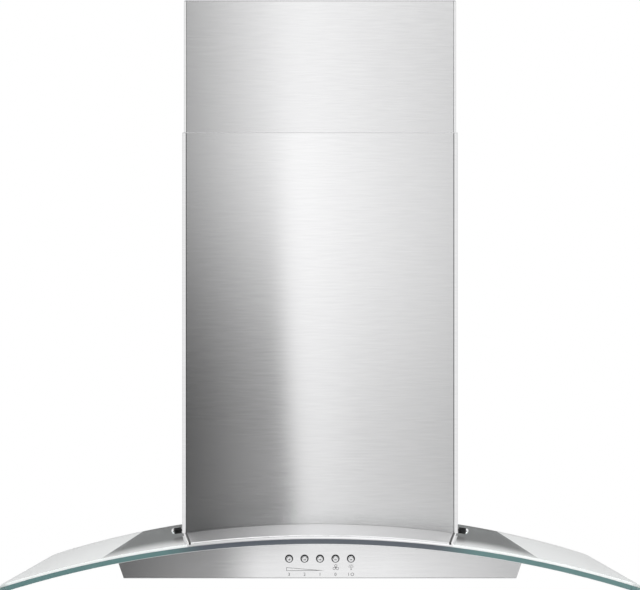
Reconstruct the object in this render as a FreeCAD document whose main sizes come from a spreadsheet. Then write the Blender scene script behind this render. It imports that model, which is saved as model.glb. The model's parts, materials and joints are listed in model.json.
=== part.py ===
import FreeCAD, Part
import math
import os

import Sketcher
from FreeCAD import Vector

# Wall mount range hood. X runs to the right, Y into the wall and Z up, in millimetres.
# The origin is on the wall, at the middle of the four wall screws in the back of the blower box.
SIZES = {
    # Shared by all pieces
    "sheet_thick": 1.0,
    "seat_gap": 0.2,
    "running_gap": 0.05,
    "overrun": 5.0,
    "origin_rise": 140.0,
    # Glass canopy
    "glass_width": 750.0,
    "glass_depth": 477.0,
    "glass_thick": 9.0,
    "glass_wall_gap": 23.0,
    "glass_front_round": 14.0,
    "glass_back_round": 22.0,
    "glass_top_arris": 3.2,
    "glass_low_arris": 0.8,
    "arch_radius": 1245.0,
    "notch_clear": 4.0,
    "notch_round": 12.0,
    # Canopy shell and underside panel
    "canopy_drop": 55.7,
    "canopy_setback": 78.0,
    "canopy_width": 486.0,
    "canopy_slope": 7.0,
    "canopy_flange": 11.0,
    "canopy_rim": 12.0,
    "canopy_ledge": 10.0,
    "gasket_thick": 1.0,
    # Saddle plate and the bolts through the glass
    "saddle_thick": 1.2,
    "saddle_front_width": 308.0,
    "saddle_side": 2.5,
    "saddle_round": 1.0,
    "saddle_inset": 3.0,
    "bolt_radius": 3.0,
    "bolt_head_radius": 7.0,
    "bolt_head_height": 4.0,
    "bolt_hole_gap": 1.6,
    "bolt_side": 15.0,
    "bolt_rear_depth": 60.0,
    "bolt_front_depth": 210.0,
    # Chimney covers
    "cover_side_gap": 30.5,
    "cover_front_gap": 52.0,
    "cover_bend": 6.0,
    "cover_flange": 14.0,
    "cover_rise": 499.0,
    "cover_hem": 12.0,
    "cover_step": 2.1,
    "upper_length": 420.0,
    "upper_show": 168.0,
    # Bracket that holds the upper cover to the wall
    "bracket_thick": 1.5,
    "bracket_height": 30.0,
    "bracket_reach": 50.0,
    "bracket_drop": 15.0,
    "bracket_hole_radius": 3.2,
    "bracket_hole_pitch": 200.0,
    "bracket_screw_radius": 2.0,
    "bracket_screw_head_radius": 4.0,
    "bracket_screw_head": 2.0,
    "bracket_screw_length": 10.0,
    # Screws at the foot of the lower cover, and the tabs they go into
    "knob_radius": 3.75,
    "knob_length": 10.0,
    "knob_height": 5.2,
    "knob_setback": 15.0,
    "knob_cap_radius": 3.2,
    "knob_cap_length": 2.5,
    "knob_shank_radius": 1.5,
    "knob_shank_length": 12.0,
    "tab_thick": 1.2,
    "tab_width": 24.0,
    "tab_height": 16.0,
    "tab_reach": 20.0,
    "tab_inset": 6.0,
    # Blower box and its wall screw holes
    "box_width": 290.0,
    "box_depth": 236.0,
    "box_height": 270.0,
    "wall_hole_radius": 4.0,
    "wall_pitch_across": 250.0,
    "wall_pitch_up": 160.0,
    # Scroll housing, its inlet rings and the fan
    "fan_depth": 92.0,
    "fan_drop": 155.0,
    "scroll_radius": 80.0,
    "scroll_growth": 8.0,
    "scroll_width": 124.0,
    "throat_offset": 40.0,
    "inlet_radius": 56.0,
    "inlet_ring_width": 12.0,
    "inlet_ring_thick": 6.0,
    "impeller_radius": 72.0,
    "impeller_width": 112.0,
    "impeller_rim": 5.0,
    "impeller_disc": 2.0,
    "blade_ring_thick": 2.0,
    "impeller_boss_radius": 13.0,
    "impeller_boss_length": 26.0,
    "blade_count": 30,
    "blade_depth": 13.0,
    "blade_thick": 1.2,
    "blade_curve": 12.0,
    "blade_lean": 4.0,
    # Motor, its bracket and its shaft
    "motor_radius": 44.0,
    "motor_length": 50.0,
    "motor_round": 6.0,
    "shaft_radius": 4.0,
    "shaft_past_nut": 4.0,
    "shaft_in_motor": 34.0,
    "nut_radius": 7.0,
    "nut_thick": 6.0,
    "arm_thick": 2.0,
    "arm_width": 12.0,
    "arm_count": 3,
    "arm_hub_radius": 38.0,
    "arm_eye_radius": 14.0,
    # Outlet collar and its damper
    "collar_depth": 148.0,
    "collar_radius": 74.5,
    "collar_wall": 1.5,
    "collar_height": 55.0,
    "collar_flange": 9.5,
    "collar_flange_thick": 2.0,
    "collar_ledge": 3.5,
    "collar_ledge_thick": 2.0,
    "rod_radius": 1.5,
    "rod_rise": 16.0,
    "rod_spread": 9.0,
    "flap_thick": 1.2,
    "flap_clear": 1.5,
    "knuckle_radius": 2.8,
    "knuckle_length": 20.0,
    "knuckle_spread": 90.0,
    # Junction box, cable gland and capacitor
    "junction_width": 70.0,
    "junction_height": 90.0,
    "junction_depth": 24.0,
    "junction_rise": 60.0,
    "junction_setback": 100.0,
    "gland_radius": 8.0,
    "gland_bore": 5.0,
    "gland_length": 14.0,
    "capacitor_width": 38.0,
    "capacitor_height": 48.0,
    "capacitor_depth": 20.0,
    "capacitor_ear": 10.0,
    "capacitor_ear_thick": 1.5,
    "capacitor_ear_hole": 2.2,
    # Switch housing and push buttons
    "button_radius": 4.2,
    "button_gap": 0.7,
    "button_pitch": 18.6,
    "button_drop": 32.0,
    "button_recess": 1.5,
    "button_length": 9.0,
    "button_dome": 0.6,
    "button_dimple_radius": 1.1,
    "button_dimple": 0.4,
    "button_travel": 2.5,
    "stem_radius": 2.5,
    "stem_length": 9.0,
    "switch_width": 100.0,
    "switch_height": 20.0,
    "switch_depth": 26.0,
    # Grease filters and their latches
    "filter_side": 18.0,
    "filter_depth": 290.0,
    "filter_thick": 9.0,
    "filter_setback": 40.0,
    "filter_bar": 14.0,
    "filter_front_bar": 34.0,
    "filter_clear": 0.8,
    "filter_middle": 12.0,
    "filter_lip": 6.0,
    "tongue_width": 60.0,
    "tongue_reach": 8.0,
    "mesh_thick": 4.0,
    "latch_width": 40.0,
    "latch_length": 11.0,
    "latch_thick": 6.0,
    "latch_travel": 6.0,
    "latch_wall": 6.0,
    "latch_grip": 2.0,
    "latch_gap": 0.3,
    "nose_width": 20.0,
    "nose_thick": 2.5,
    "nose_short": 0.4,
    # Lamps
    "lamp_radius": 29.0,
    "lamp_height": 20.0,
    "lamp_wall": 1.5,
    "lamp_side": 86.0,
    "lamp_setback": 46.0,
    "lamp_trim_width": 8.0,
    "lamp_trim_thick": 1.0,
    "lens_thick": 3.0,
}

# Places and sizes worked out from the sizes above
PLACES = {
    "z_glass": "-sizes.origin_rise",
    "z_arch": "-sizes.origin_rise - sizes.arch_radius",
    "y_front": "-sizes.glass_wall_gap - sizes.glass_depth",
    "y_panel": "sizes.canopy_setback - sizes.glass_wall_gap - sizes.glass_depth",
    "z_rim": "-sizes.origin_rise - sizes.canopy_drop",
    "z_panel": "-sizes.origin_rise - sizes.canopy_drop + sizes.sheet_thick",
    "half_glass": "sizes.glass_width / 2",
    "half_rim": "sizes.canopy_width / 2 - sizes.canopy_slope",
    "half_top": "sizes.canopy_width / 2",
    "half_flange": "sizes.canopy_width / 2 + sizes.canopy_flange",
    "half_box": "sizes.box_width / 2",
    "half_notch": "sizes.box_width / 2 + sizes.notch_clear",
    "y_notch": "-sizes.box_depth - sizes.notch_clear",
    "half_cover": "places.half_box + sizes.cover_side_gap",
    "half_saddle": "places.half_cover - sizes.saddle_side",
    "cover_depth": "sizes.box_depth + sizes.cover_front_gap",
    "under_radius": "sizes.arch_radius - sizes.glass_thick",
    "gasket_radius": "sizes.arch_radius - sizes.glass_thick - sizes.seat_gap",
    "shell_radius": "sizes.arch_radius - sizes.glass_thick - sizes.gasket_thick - 2 * sizes.seat_gap",
    "saddle_low": "sizes.arch_radius + sizes.seat_gap",
    "saddle_high": "sizes.arch_radius + sizes.seat_gap + sizes.saddle_thick",
    "cover_low": "sizes.arch_radius + 2 * sizes.seat_gap + sizes.saddle_thick",
    "box_low": "places.shell_radius + sizes.seat_gap",
    "shell_inner": "places.shell_radius - sizes.sheet_thick",
    "z_box": "sizes.box_height - sizes.origin_rise",
    "z_cover": "sizes.cover_rise - sizes.origin_rise",
    "z_upper": "sizes.cover_rise + sizes.upper_show - sizes.origin_rise",
    "y_upper": "-sizes.sheet_thick - sizes.seat_gap",
    "half_upper": "places.half_cover - sizes.cover_step",
    "bolt_x": "places.half_box + sizes.bolt_side",
    "bolt_angle": "asin(places.bolt_x / sizes.arch_radius)",
    "bolt_hole": "sizes.bolt_radius + sizes.bolt_hole_gap",
    "knob_angle": "asin(places.half_cover / sizes.arch_radius)",
    "y_knob": "sizes.knob_setback - places.cover_depth",
    "y_fan": "-sizes.fan_depth",
    "z_fan": "places.z_box - sizes.fan_drop",
    "z_mouth": "places.z_box - sizes.sheet_thick - sizes.seat_gap",
    "scroll_half": "sizes.scroll_width / 2 + sizes.seat_gap + sizes.sheet_thick",
    "ring_face": "places.scroll_half + sizes.seat_gap + sizes.inlet_ring_thick",
    "arm_face": "places.ring_face + sizes.seat_gap + sizes.arm_thick",
    "motor_face": "places.arm_face + sizes.seat_gap",
    "y_collar": "-sizes.collar_depth",
    "collar_bore": "sizes.collar_radius - sizes.collar_wall",
    "z_rod": "places.z_box + sizes.rod_rise",
    "button_hole": "sizes.button_radius + sizes.button_gap",
    "z_button": "places.z_glass - sizes.button_drop",
    "filter_width": "places.half_rim - sizes.filter_side - sizes.filter_middle / 2",
    "filter_x": "(places.filter_width + sizes.filter_middle) / 2",
    "y_filter": "-sizes.filter_setback",
    "y_latch": "-sizes.filter_setback - sizes.filter_depth + sizes.latch_wall",
    "z_nose": "places.z_panel + sizes.sheet_thick + sizes.seat_gap",
    "lamp_x": "places.half_rim - sizes.lamp_side",
    "y_lamp": "places.y_panel + sizes.lamp_setback",
}

doc = FreeCAD.newDocument("range_hood")
nodes = []


def fill_sheet(name, cells):
    """Write one value or formula per row and give each cell its alias."""
    sheet = doc.addObject("Spreadsheet::Sheet", name)
    for row, (alias, content) in enumerate(cells.items(), 1):
        sheet.set(f"A{row}", alias)
        sheet.set(f"B{row}", str(content))
        sheet.setAlias(f"B{row}", alias)
    doc.recompute()
    return sheet


sizes = fill_sheet("sizes", SIZES)
places = fill_sheet("places", {alias: f"={formula}" for alias, formula in PLACES.items()})


def value(text):
    """Work out an expression as a plain number."""
    result = places.evalExpression(text)
    return float(getattr(result, "Value", result))


def bind(thing, **properties):
    """Tie properties of an object to expressions."""
    for name, text in properties.items():
        thing.setExpression(name, text)
    return thing


def place(thing, x="0", y="0", z="0", turn=None):
    """Tie the place of an object, and its turn about Y, to expressions."""
    for axis, text in zip("xyz", (x, y, z)):
        thing.setExpression(f"Placement.Base.{axis}", text)
    if turn:
        thing.Placement.Rotation = FreeCAD.Rotation(Vector(0, 1, 0), 1)
        thing.setExpression("Placement.Rotation.Angle", turn)
    return thing


def keep(thing, label):
    """Name a finished piece; its label is also the name of its file."""
    thing.Label = label
    nodes.append(thing)
    return thing


def arc_height(radius, across):
    """Height of an arch of the given radius at a distance from the centre line."""
    return f"places.z_arch + sqrt(({radius}) ^ 2 - ({across}) ^ 2)"


# Sketches and features of a body


def new_body(name):
    """Start a body."""
    return doc.addObject("PartDesign::Body", name)


def origin_feature(body, role):
    """Find one of a body's own planes or axes."""
    return next(item for item in body.Origin.OriginFeatures if item.Role == role)


def new_sketch(body, plane, offset=None):
    """Start a sketch on a body's own plane, moved along the plane's normal."""
    sketch = body.newObject("Sketcher::SketchObject", "Sketch")
    sketch.AttachmentSupport = [(origin_feature(body, f"{plane}_Plane"), "")]
    sketch.MapMode = "FlatFace"
    if offset:
        sketch.setExpression("AttachmentOffset.Base.z", offset)
    return sketch


def pin_point(sketch, part, end, x, y):
    """Tie one point of a sketch to two expressions."""
    for kind, text in (("DistanceX", x), ("DistanceY", y)):
        index = sketch.addConstraint(Sketcher.Constraint(kind, -1, 1, part, end, value(text)))
        if text != "0":
            sketch.setExpression(f"Constraints[{index}]", text)


def arc_between(start, end, radius, clockwise):
    """Make the shorter arc between two points, always drawn anticlockwise."""
    middle = (start + end) * 0.5
    chord = end - start
    rise = math.sqrt(max(radius ** 2 - (chord.Length / 2) ** 2, 0))
    left = Vector(-chord.y, chord.x, 0).normalize()
    centre = middle + left * (-rise if clockwise else rise)
    first, last = (end, start) if clockwise else (start, end)
    begin = math.atan2(first.y - centre.y, first.x - centre.x)
    finish = math.atan2(last.y - centre.y, last.x - centre.x)
    return Part.ArcOfCircle(Part.Circle(centre, Vector(0, 0, 1), radius), begin, finish)


def outline(sketch, corners):
    """Draw a closed outline. A corner is x, y and, where an arc follows it, a radius and a turn."""
    points = [Vector(value(corner[0]), value(corner[1]), 0) for corner in corners]
    pieces = []
    for number, corner in enumerate(corners):
        start = points[number]
        end = points[(number + 1) % len(points)]
        if not corner[2:]:
            pieces.append((sketch.addGeometry(Part.LineSegment(start, end)), 1, 2))
            continue
        clockwise = corner[3] == "right"
        part = sketch.addGeometry(arc_between(start, end, value(corner[2]), clockwise))
        pieces.append((part, 2, 1) if clockwise else (part, 1, 2))
    for number, (part, first, last) in enumerate(pieces):
        following, follow_first, _ = pieces[(number + 1) % len(pieces)]
        sketch.addConstraint(Sketcher.Constraint("Coincident", part, last, following, follow_first))
    for corner, (part, first, last) in zip(corners, pieces):
        pin_point(sketch, part, first, corner[0], corner[1])
        if corner[2:]:
            index = sketch.addConstraint(Sketcher.Constraint("Radius", part, value(corner[2])))
            sketch.setExpression(f"Constraints[{index}]", corner[2])
    return sketch


def rectangle(sketch, left, right, low, high):
    """Draw a rectangle between four expressions."""
    return outline(sketch, [(left, low), (right, low), (right, high), (left, high)])


def circle(sketch, x, y, radius):
    """Draw a circle about a point."""
    centre = Vector(value(x), value(y), 0)
    part = sketch.addGeometry(Part.Circle(centre, Vector(0, 0, 1), value(radius)))
    pin_point(sketch, part, 3, x, y)
    index = sketch.addConstraint(Sketcher.Constraint("Radius", part, value(radius)))
    sketch.setExpression(f"Constraints[{index}]", radius)
    return sketch


def pad(body, sketch, length, symmetric=False, reverse=False):
    """Raise a sketch into a solid."""
    feature = body.newObject("PartDesign::Pad", "Pad")
    feature.Profile = sketch
    feature.Reversed = reverse
    if symmetric:
        feature.SideType = "Symmetric"
    bind(feature, Length=length)
    sketch.Visibility = False
    return feature


def pocket(body, sketch, length=None, symmetric=False, reverse=False):
    """Cut a sketch out of a solid, all the way through where no length is given."""
    feature = body.newObject("PartDesign::Pocket", "Pocket")
    feature.Profile = sketch
    feature.Reversed = reverse
    if symmetric:
        feature.SideType = "Symmetric"
    if length:
        bind(feature, Length=length)
    else:
        feature.Type = "ThroughAll"
    return feature


def revolve(body, sketch, axis):
    """Turn a sketch about one of the body's own axes."""
    feature = body.newObject("PartDesign::Revolution", "Revolution")
    feature.Profile = sketch
    feature.ReferenceAxis = (origin_feature(body, f"{axis}_Axis"), [""])
    feature.Angle = 360
    return feature


def round_edges(body, wanted, radius):
    """Fillet the edges of a body's latest feature that a test picks."""
    doc.recompute()
    base = body.Tip
    names = [f"Edge{number}" for number, edge in enumerate(base.Shape.Edges, 1) if wanted(edge)]
    feature = body.newObject("PartDesign::Fillet", "Fillet")
    feature.Base = (base, names)
    bind(feature, Radius=radius)
    return feature


def upright(edge):
    """Tell whether an edge runs straight along Z."""
    if edge.Curve.TypeId != "Part::GeomLine":
        return False
    return abs(edge.Curve.Direction.z) > math.cos(math.radians(1))


def on_arch(radius):
    """Make a test for edges that lie on an arch of the given radius."""
    axis = value("places.z_arch")
    reach = value(radius)
    slack = value("sizes.running_gap")

    def lies(edge):
        """Tell whether both ends and the middle of an edge are on the arch."""
        points = edge.discretize(3)
        return all(abs(math.hypot(point.x, point.z - axis) - reach) < slack for point in points)

    return lies


# Primitives


def new_box(length, width, height, x, y, z):
    """Make a block from its near corner."""
    made = bind(doc.addObject("Part::Box", "Box"), Length=length, Width=width, Height=height)
    return place(made, x, y, z)


def new_rod(radius, length, x, y, z, along="Z"):
    """Make a cylinder that starts at a point and runs along an axis."""
    made = bind(doc.addObject("Part::Cylinder", "Cylinder"), Radius=radius, Height=length)
    directions = {"X": Vector(1, 0, 0), "Y": Vector(0, 1, 0), "Z": Vector(0, 0, 1)}
    made.Placement.Rotation = FreeCAD.Rotation(Vector(0, 0, 1), directions[along])
    return place(made, x, y, z)


def join(*things):
    """Fuse pieces into one."""
    made = doc.addObject("Part::MultiFuse", "Fusion")
    made.Shapes = list(things)
    made.Refine = True
    return made


def cut(base, *tools):
    """Cut tools out of a base."""
    for tool in tools:
        made = doc.addObject("Part::Cut", "Cut")
        made.Base = base
        made.Tool = tool
        base = made
    return base


def bolt_places():
    """List the bolts through the glass as side and depth."""
    depths = ("sizes.bolt_front_depth", "sizes.bolt_rear_depth")
    return [(side, depth) for depth in depths for side in (-1, 1)]


# Canopy


def arch_strip(sketch, low, high, across):
    """Draw the section of an arched sheet between two radii."""
    outline(sketch, [
        (f"-({across})", arc_height(low, across), low, "right"),
        (across, arc_height(low, across)),
        (across, arc_height(high, across), high, "left"),
        (f"-({across})", arc_height(high, across)),
    ])
    return sketch


def notch(sketch, clear="0"):
    """Draw the opening round the blower box, open towards the wall."""
    side = f"places.half_notch + {clear}"
    rounding = "sizes.notch_round"
    depth = f"places.y_notch - {clear}"
    outline(sketch, [
        (f"-({side})", "sizes.overrun"),
        (f"-({side})", f"{depth} + {rounding}", rounding, "left"),
        (f"-({side}) + {rounding}", depth),
        (f"{side} - {rounding}", depth, rounding, "left"),
        (side, f"{depth} + {rounding}"),
        (side, "sizes.overrun"),
    ])
    return sketch


def bolt_holes(sketch, radius):
    """Draw the four bolt holes where the bolts cross an arch of the given radius."""
    for side, depth in bolt_places():
        across = f"{side} * places.bolt_x * ({radius}) / sizes.arch_radius"
        circle(sketch, across, f"-{depth}", "places.bolt_hole")
    return sketch


def make_glass():
    """Arched glass with a notch for the blower box and ground edges."""
    body = new_body("Glass")
    sketch = new_sketch(body, "XZ", "sizes.glass_wall_gap")
    pad(body, arch_strip(sketch, "places.under_radius", "sizes.arch_radius", "places.half_glass"),
        "sizes.glass_depth")
    middle = value("places.y_front / 2")
    round_edges(body, lambda edge: upright(edge) and edge.CenterOfMass.y < middle,
                "sizes.glass_front_round")
    round_edges(body, lambda edge: upright(edge) and edge.CenterOfMass.y > middle,
                "sizes.glass_back_round")
    round_edges(body, on_arch("sizes.arch_radius"), "sizes.glass_top_arris")
    round_edges(body, on_arch("places.under_radius"), "sizes.glass_low_arris")
    pocket(body, bolt_holes(notch(new_sketch(body, "XY", "places.z_glass")), "sizes.arch_radius"),
           symmetric=True)
    keep(body, "glass_canopy")


def make_shell():
    """Shallow steel body with an arched top plate that reaches past its sloping sides."""
    body = new_body("Shell")
    inner = "places.shell_inner"
    outer = "places.shell_radius"
    flange = "places.half_flange"
    top = "places.half_top"
    pad(body, outline(new_sketch(body, "XZ"), [
        ("-places.half_rim", "places.z_rim"),
        ("places.half_rim", "places.z_rim"),
        (top, arc_height(inner, top), inner, "right"),
        (flange, arc_height(inner, flange)),
        (flange, arc_height(outer, flange), outer, "left"),
        (f"-{flange}", arc_height(outer, flange)),
        (f"-{flange}", arc_height(inner, flange), inner, "right"),
        (f"-{top}", arc_height(inner, top)),
    ]), "-places.y_panel")
    half_low = "(places.half_rim - sizes.sheet_thick)"
    half_high = f"({top} - sizes.sheet_thick)"
    pocket(body, outline(new_sketch(body, "XZ", "sizes.sheet_thick"), [
        (f"-{half_low}", "places.z_rim - sizes.overrun"),
        (half_low, "places.z_rim - sizes.overrun"),
        (half_high, arc_height(inner, half_high), inner, "left"),
        (f"-{half_high}", arc_height(inner, half_high)),
    ]), "-places.y_panel - 2 * sizes.sheet_thick", reverse=True)
    rim = new_sketch(body, "XY", "places.z_rim")
    edge = "sizes.sheet_thick / 2"
    rectangle(rim, f"-places.half_rim + {edge}", f"places.half_rim - {edge}",
              f"places.y_panel + {edge}", f"-{edge}")
    rectangle(rim, "-places.half_rim + sizes.canopy_rim", "places.half_rim - sizes.canopy_rim",
              "places.y_panel + sizes.canopy_rim", "-sizes.canopy_rim")
    pad(body, rim, "sizes.sheet_thick")
    opening = new_sketch(body, "XY", "places.z_rim + sizes.canopy_drop / 2")
    half = "(places.half_box - sizes.canopy_ledge)"
    rectangle(opening, f"-{half}", half, "sizes.canopy_ledge - sizes.box_depth", "-sizes.canopy_ledge")
    pocket(body, bolt_holes(opening, outer), reverse=True)
    holes = new_sketch(body, "XZ", "sizes.overrun - places.y_panel")
    for number in range(-2, 3):
        circle(holes, f"{number} * sizes.button_pitch", "places.z_button", "places.button_hole")
    pocket(body, holes, "2 * sizes.overrun")
    keep(body, "canopy_shell")


def make_underside():
    """Flat panel on the rim, with openings for the filters and the lamps."""
    body = new_body("Underside")
    edge = "(sizes.sheet_thick + sizes.seat_gap)"
    sketch = new_sketch(body, "XY", "places.z_panel")
    rectangle(sketch, f"-places.half_rim + {edge}", f"places.half_rim - {edge}",
              f"places.y_panel + {edge}", f"-{edge}")
    half = "(places.filter_width / 2 + sizes.filter_clear)"
    near = "places.y_filter + sizes.filter_clear"
    far = "places.y_filter - sizes.filter_depth - sizes.filter_clear"
    for side in (-1, 1):
        middle = f"{side} * places.filter_x"
        rectangle(sketch, f"{middle} - {half}", f"{middle} + {half}", far, near)
        circle(sketch, f"{side} * places.lamp_x", "places.y_lamp", "sizes.lamp_radius + sizes.seat_gap")
    pad(body, sketch, "sizes.sheet_thick")
    lips = new_sketch(body, "XY", "places.z_panel")
    for side in (-1, 1):
        for wall in (-1, 1):
            inner = f"{side} * places.filter_x + {wall} * {half}"
            outer = f"{inner} + {wall} * sizes.sheet_thick"
            left, right = (inner, outer) if wall > 0 else (outer, inner)
            rectangle(lips, left, right, far, near)
    pad(body, lips, "sizes.filter_lip")
    keep(body, "underside_panel")


def make_gasket():
    """Arched gasket round the opening, between the shell and the glass."""
    body = new_body("Gasket")
    half = "places.half_saddle"
    low = "places.shell_radius + sizes.seat_gap"
    pad(body, arch_strip(new_sketch(body, "XZ", "sizes.glass_wall_gap"), low, "places.gasket_radius", half),
        "places.cover_depth - sizes.glass_wall_gap")
    pocket(body, bolt_holes(notch(new_sketch(body, "XY", "places.z_glass")), "places.gasket_radius"),
           symmetric=True)
    keep(body, "glass_gasket")


def make_saddle():
    """Arched steel plate on the glass that narrows from the chimney to the front edge."""
    body = new_body("Saddle")
    front = "places.y_front + sizes.saddle_inset"
    rear = "places.half_saddle"
    nose = "(sizes.saddle_front_width / 2)"
    plan = outline(new_sketch(body, "XY", "places.z_glass"), [
        (f"-{nose}", front),
        (nose, front),
        (rear, "-places.cover_depth"),
        (rear, "-sizes.glass_wall_gap"),
        (f"-{rear}", "-sizes.glass_wall_gap"),
        (f"-{rear}", "-places.cover_depth"),
    ])
    pad(body, plan, "places.cover_depth", symmetric=True)
    half = "places.half_cover"
    above = "places.z_glass + places.cover_depth"
    below = "places.z_glass - places.cover_depth"
    for radius, limit in (("places.saddle_high", above), ("places.saddle_low", below)):
        pocket(body, outline(new_sketch(body, "XZ"), [
            (f"-{half}", arc_height(radius, half), radius, "right"),
            (half, arc_height(radius, half)),
            (half, limit),
            (f"-{half}", limit),
        ]), reverse=True)
    round_edges(body, on_arch("places.saddle_high"), "sizes.saddle_round")
    pocket(body, bolt_holes(notch(new_sketch(body, "XY", "places.z_glass")), "sizes.arch_radius"),
           symmetric=True)
    keep(body, "saddle_plate")


def make_bolts():
    """Bolts with nuts, square to the arch, that clamp the saddle, the glass and the shell."""
    for number, (side, depth) in enumerate(bolt_places(), 1):
        body = new_body("Bolt")
        head = "places.saddle_high + sizes.seat_gap"
        nut = "places.shell_inner - sizes.seat_gap"
        outline_points = [
            ("0", f"{nut} - sizes.bolt_head_height"),
            ("sizes.bolt_head_radius", f"{nut} - sizes.bolt_head_height"),
            ("sizes.bolt_head_radius", nut),
            ("sizes.bolt_radius", nut),
            ("sizes.bolt_radius", head),
            ("sizes.bolt_head_radius", head),
            ("sizes.bolt_head_radius", f"{head} + sizes.bolt_head_height"),
            ("0", f"{head} + sizes.bolt_head_height"),
        ]
        revolve(body, outline(new_sketch(body, "XZ"), outline_points), "Z")
        place(body, "0", f"-{depth}", "places.z_arch", turn=f"{side} * places.bolt_angle")
        keep(body, f"glass_bolt_{number}")


def make_lamps():
    """Two lamps in the front of the underside: a cup, a lens and a trim ring each."""
    radius = "sizes.lamp_radius"
    bore = f"({radius} - sizes.lamp_wall)"
    hole = f"({radius} - sizes.lamp_trim_width / 2)"
    for name, side in (("left", -1), ("right", 1)):
        spot = (f"{side} * places.lamp_x", "places.y_lamp", "places.z_panel")
        cup = new_body("Lamp")
        revolve(cup, outline(new_sketch(cup, "XZ"), [
            (bore, "0"),
            (radius, "0"),
            (radius, "sizes.lamp_height / 2"),
            (f"{radius} / 2", "sizes.lamp_height"),
            ("0", "sizes.lamp_height"),
            ("0", "sizes.lamp_height - sizes.lamp_wall"),
            (f"{radius} / 2 - sizes.lamp_wall", "sizes.lamp_height - sizes.lamp_wall"),
            (bore, "sizes.lamp_height / 2"),
        ]), "Z")
        keep(place(cup, *spot), f"lamp_housing_{name}")
        lens = new_rod(f"{bore} - sizes.seat_gap", "sizes.lens_thick", *spot)
        keep(lens, f"lamp_lens_{name}")
        trim = new_body("Trim")
        ring = new_sketch(trim, "XY")
        circle(ring, "0", "0", f"{radius} + sizes.lamp_trim_width / 2")
        circle(ring, "0", "0", hole)
        pad(trim, ring, "sizes.lamp_trim_thick", reverse=True)
        keep(place(trim, *spot[:2], "places.z_panel - sizes.seat_gap"), f"lamp_trim_{name}")


# Blower


def make_blower_box():
    """Sheet box that stands on the shell through the glass, with the wall screw holes in its back."""
    body = new_body("BlowerBox")
    half = "places.half_box"
    inner = f"({half} - sizes.sheet_thick)"
    low = "places.z_glass - sizes.canopy_drop"
    sketch = new_sketch(body, "XY", low)
    rectangle(sketch, f"-{half}", half, "-sizes.box_depth", "0")
    pad(body, sketch, "sizes.box_height + sizes.canopy_drop")
    cavity = new_sketch(body, "XY", low)
    rectangle(cavity, f"-{inner}", inner, "sizes.sheet_thick - sizes.box_depth", "-sizes.sheet_thick")
    pocket(body, cavity, "sizes.box_height + sizes.canopy_drop - sizes.sheet_thick", reverse=True)
    across = f"({half} + sizes.overrun)"
    pocket(body, outline(new_sketch(body, "XZ"), [
        (f"-{across}", f"{low} - sizes.overrun"),
        (across, f"{low} - sizes.overrun"),
        (across, arc_height("places.box_low", across), "places.box_low", "left"),
        (f"-{across}", arc_height("places.box_low", across)),
    ]), reverse=True)
    outlet = new_sketch(body, "XY", "places.z_box + sizes.overrun")
    circle(outlet, "0", "places.y_collar", "places.collar_bore - sizes.collar_ledge")
    pocket(body, outlet, "2 * sizes.overrun")
    holes = new_sketch(body, "XZ", "-sizes.overrun")
    for side in (-1, 1):
        for level in (-1, 1):
            circle(holes, f"{side} * sizes.wall_pitch_across / 2", f"{level} * sizes.wall_pitch_up / 2",
                   "sizes.wall_hole_radius")
    pocket(body, holes, "2 * sizes.overrun", reverse=True)
    keep(body, "blower_box")


def scroll_outline(sketch, wall, top):
    """Draw the scroll: three quarter turns that widen from the tongue to the throat."""
    radius = f"(sizes.scroll_radius + {wall})"
    grow = "sizes.scroll_growth"
    tongue = f"(-sizes.throat_offset + {wall})"
    front = f"-({radius} + 3 * {grow})"
    return outline(sketch, [
        (f"places.y_fan + {tongue}", top),
        (f"places.y_fan + {tongue}", f"places.z_fan + sqrt({radius} ^ 2 - {tongue} ^ 2)", radius, "right"),
        (f"places.y_fan + {radius}", "places.z_fan", f"{radius} + {grow}", "right"),
        (f"places.y_fan - {grow}", f"places.z_fan - {radius} - {grow}", f"{radius} + 2 * {grow}", "right"),
        (f"places.y_fan + {front}", f"places.z_fan + {grow}"),
        (f"places.y_fan + {front}", top),
    ])


def make_scroll():
    """Scroll band and its two side sheets, each with an inlet; the mouth is under the outlet collar."""
    band = new_body("ScrollBand")
    pad(band, scroll_outline(new_sketch(band, "YZ"), "sizes.sheet_thick", "places.z_mouth"),
        "sizes.scroll_width", symmetric=True)
    pocket(band, scroll_outline(new_sketch(band, "YZ"), "0", "places.z_mouth + sizes.overrun"),
           symmetric=True)
    keep(band, "scroll_housing")
    for name, side in (("left", -1), ("right", 1)):
        sheet = new_body("ScrollSide")
        sketch = new_sketch(sheet, "YZ", f"{side} * places.scroll_half")
        scroll_outline(sketch, "sizes.sheet_thick", "places.z_mouth")
        circle(sketch, "places.y_fan", "places.z_fan", "sizes.inlet_radius")
        pad(sheet, sketch, "sizes.sheet_thick", reverse=side > 0)
        keep(sheet, f"scroll_side_{name}")


def make_inlet_rings():
    """Rounded ring on each inlet of the scroll."""
    bore = "sizes.inlet_radius"
    edge = f"({bore} + sizes.inlet_ring_width)"
    thick = "sizes.inlet_ring_thick"
    for name, side in (("left", -1), ("right", 1)):
        body = new_body("InletRing")
        base = f"{side} * (places.scroll_half + sizes.seat_gap)"
        tip = f"{side} * places.ring_face"
        shoulder = f"{side} * (places.scroll_half + sizes.seat_gap + sizes.sheet_thick)"
        bend = f"({thick} - sizes.sheet_thick)"
        revolve(body, outline(new_sketch(body, "XY"), [
            (base, bore),
            (base, edge),
            (shoulder, edge),
            (shoulder, f"{bore} + sizes.sheet_thick + {bend}", bend, "right" if side > 0 else "left"),
            (tip, f"{bore} + sizes.sheet_thick"),
            (tip, bore),
        ]), "X")
        keep(place(body, "0", "places.y_fan", "places.z_fan"), f"inlet_ring_{name}")


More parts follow.
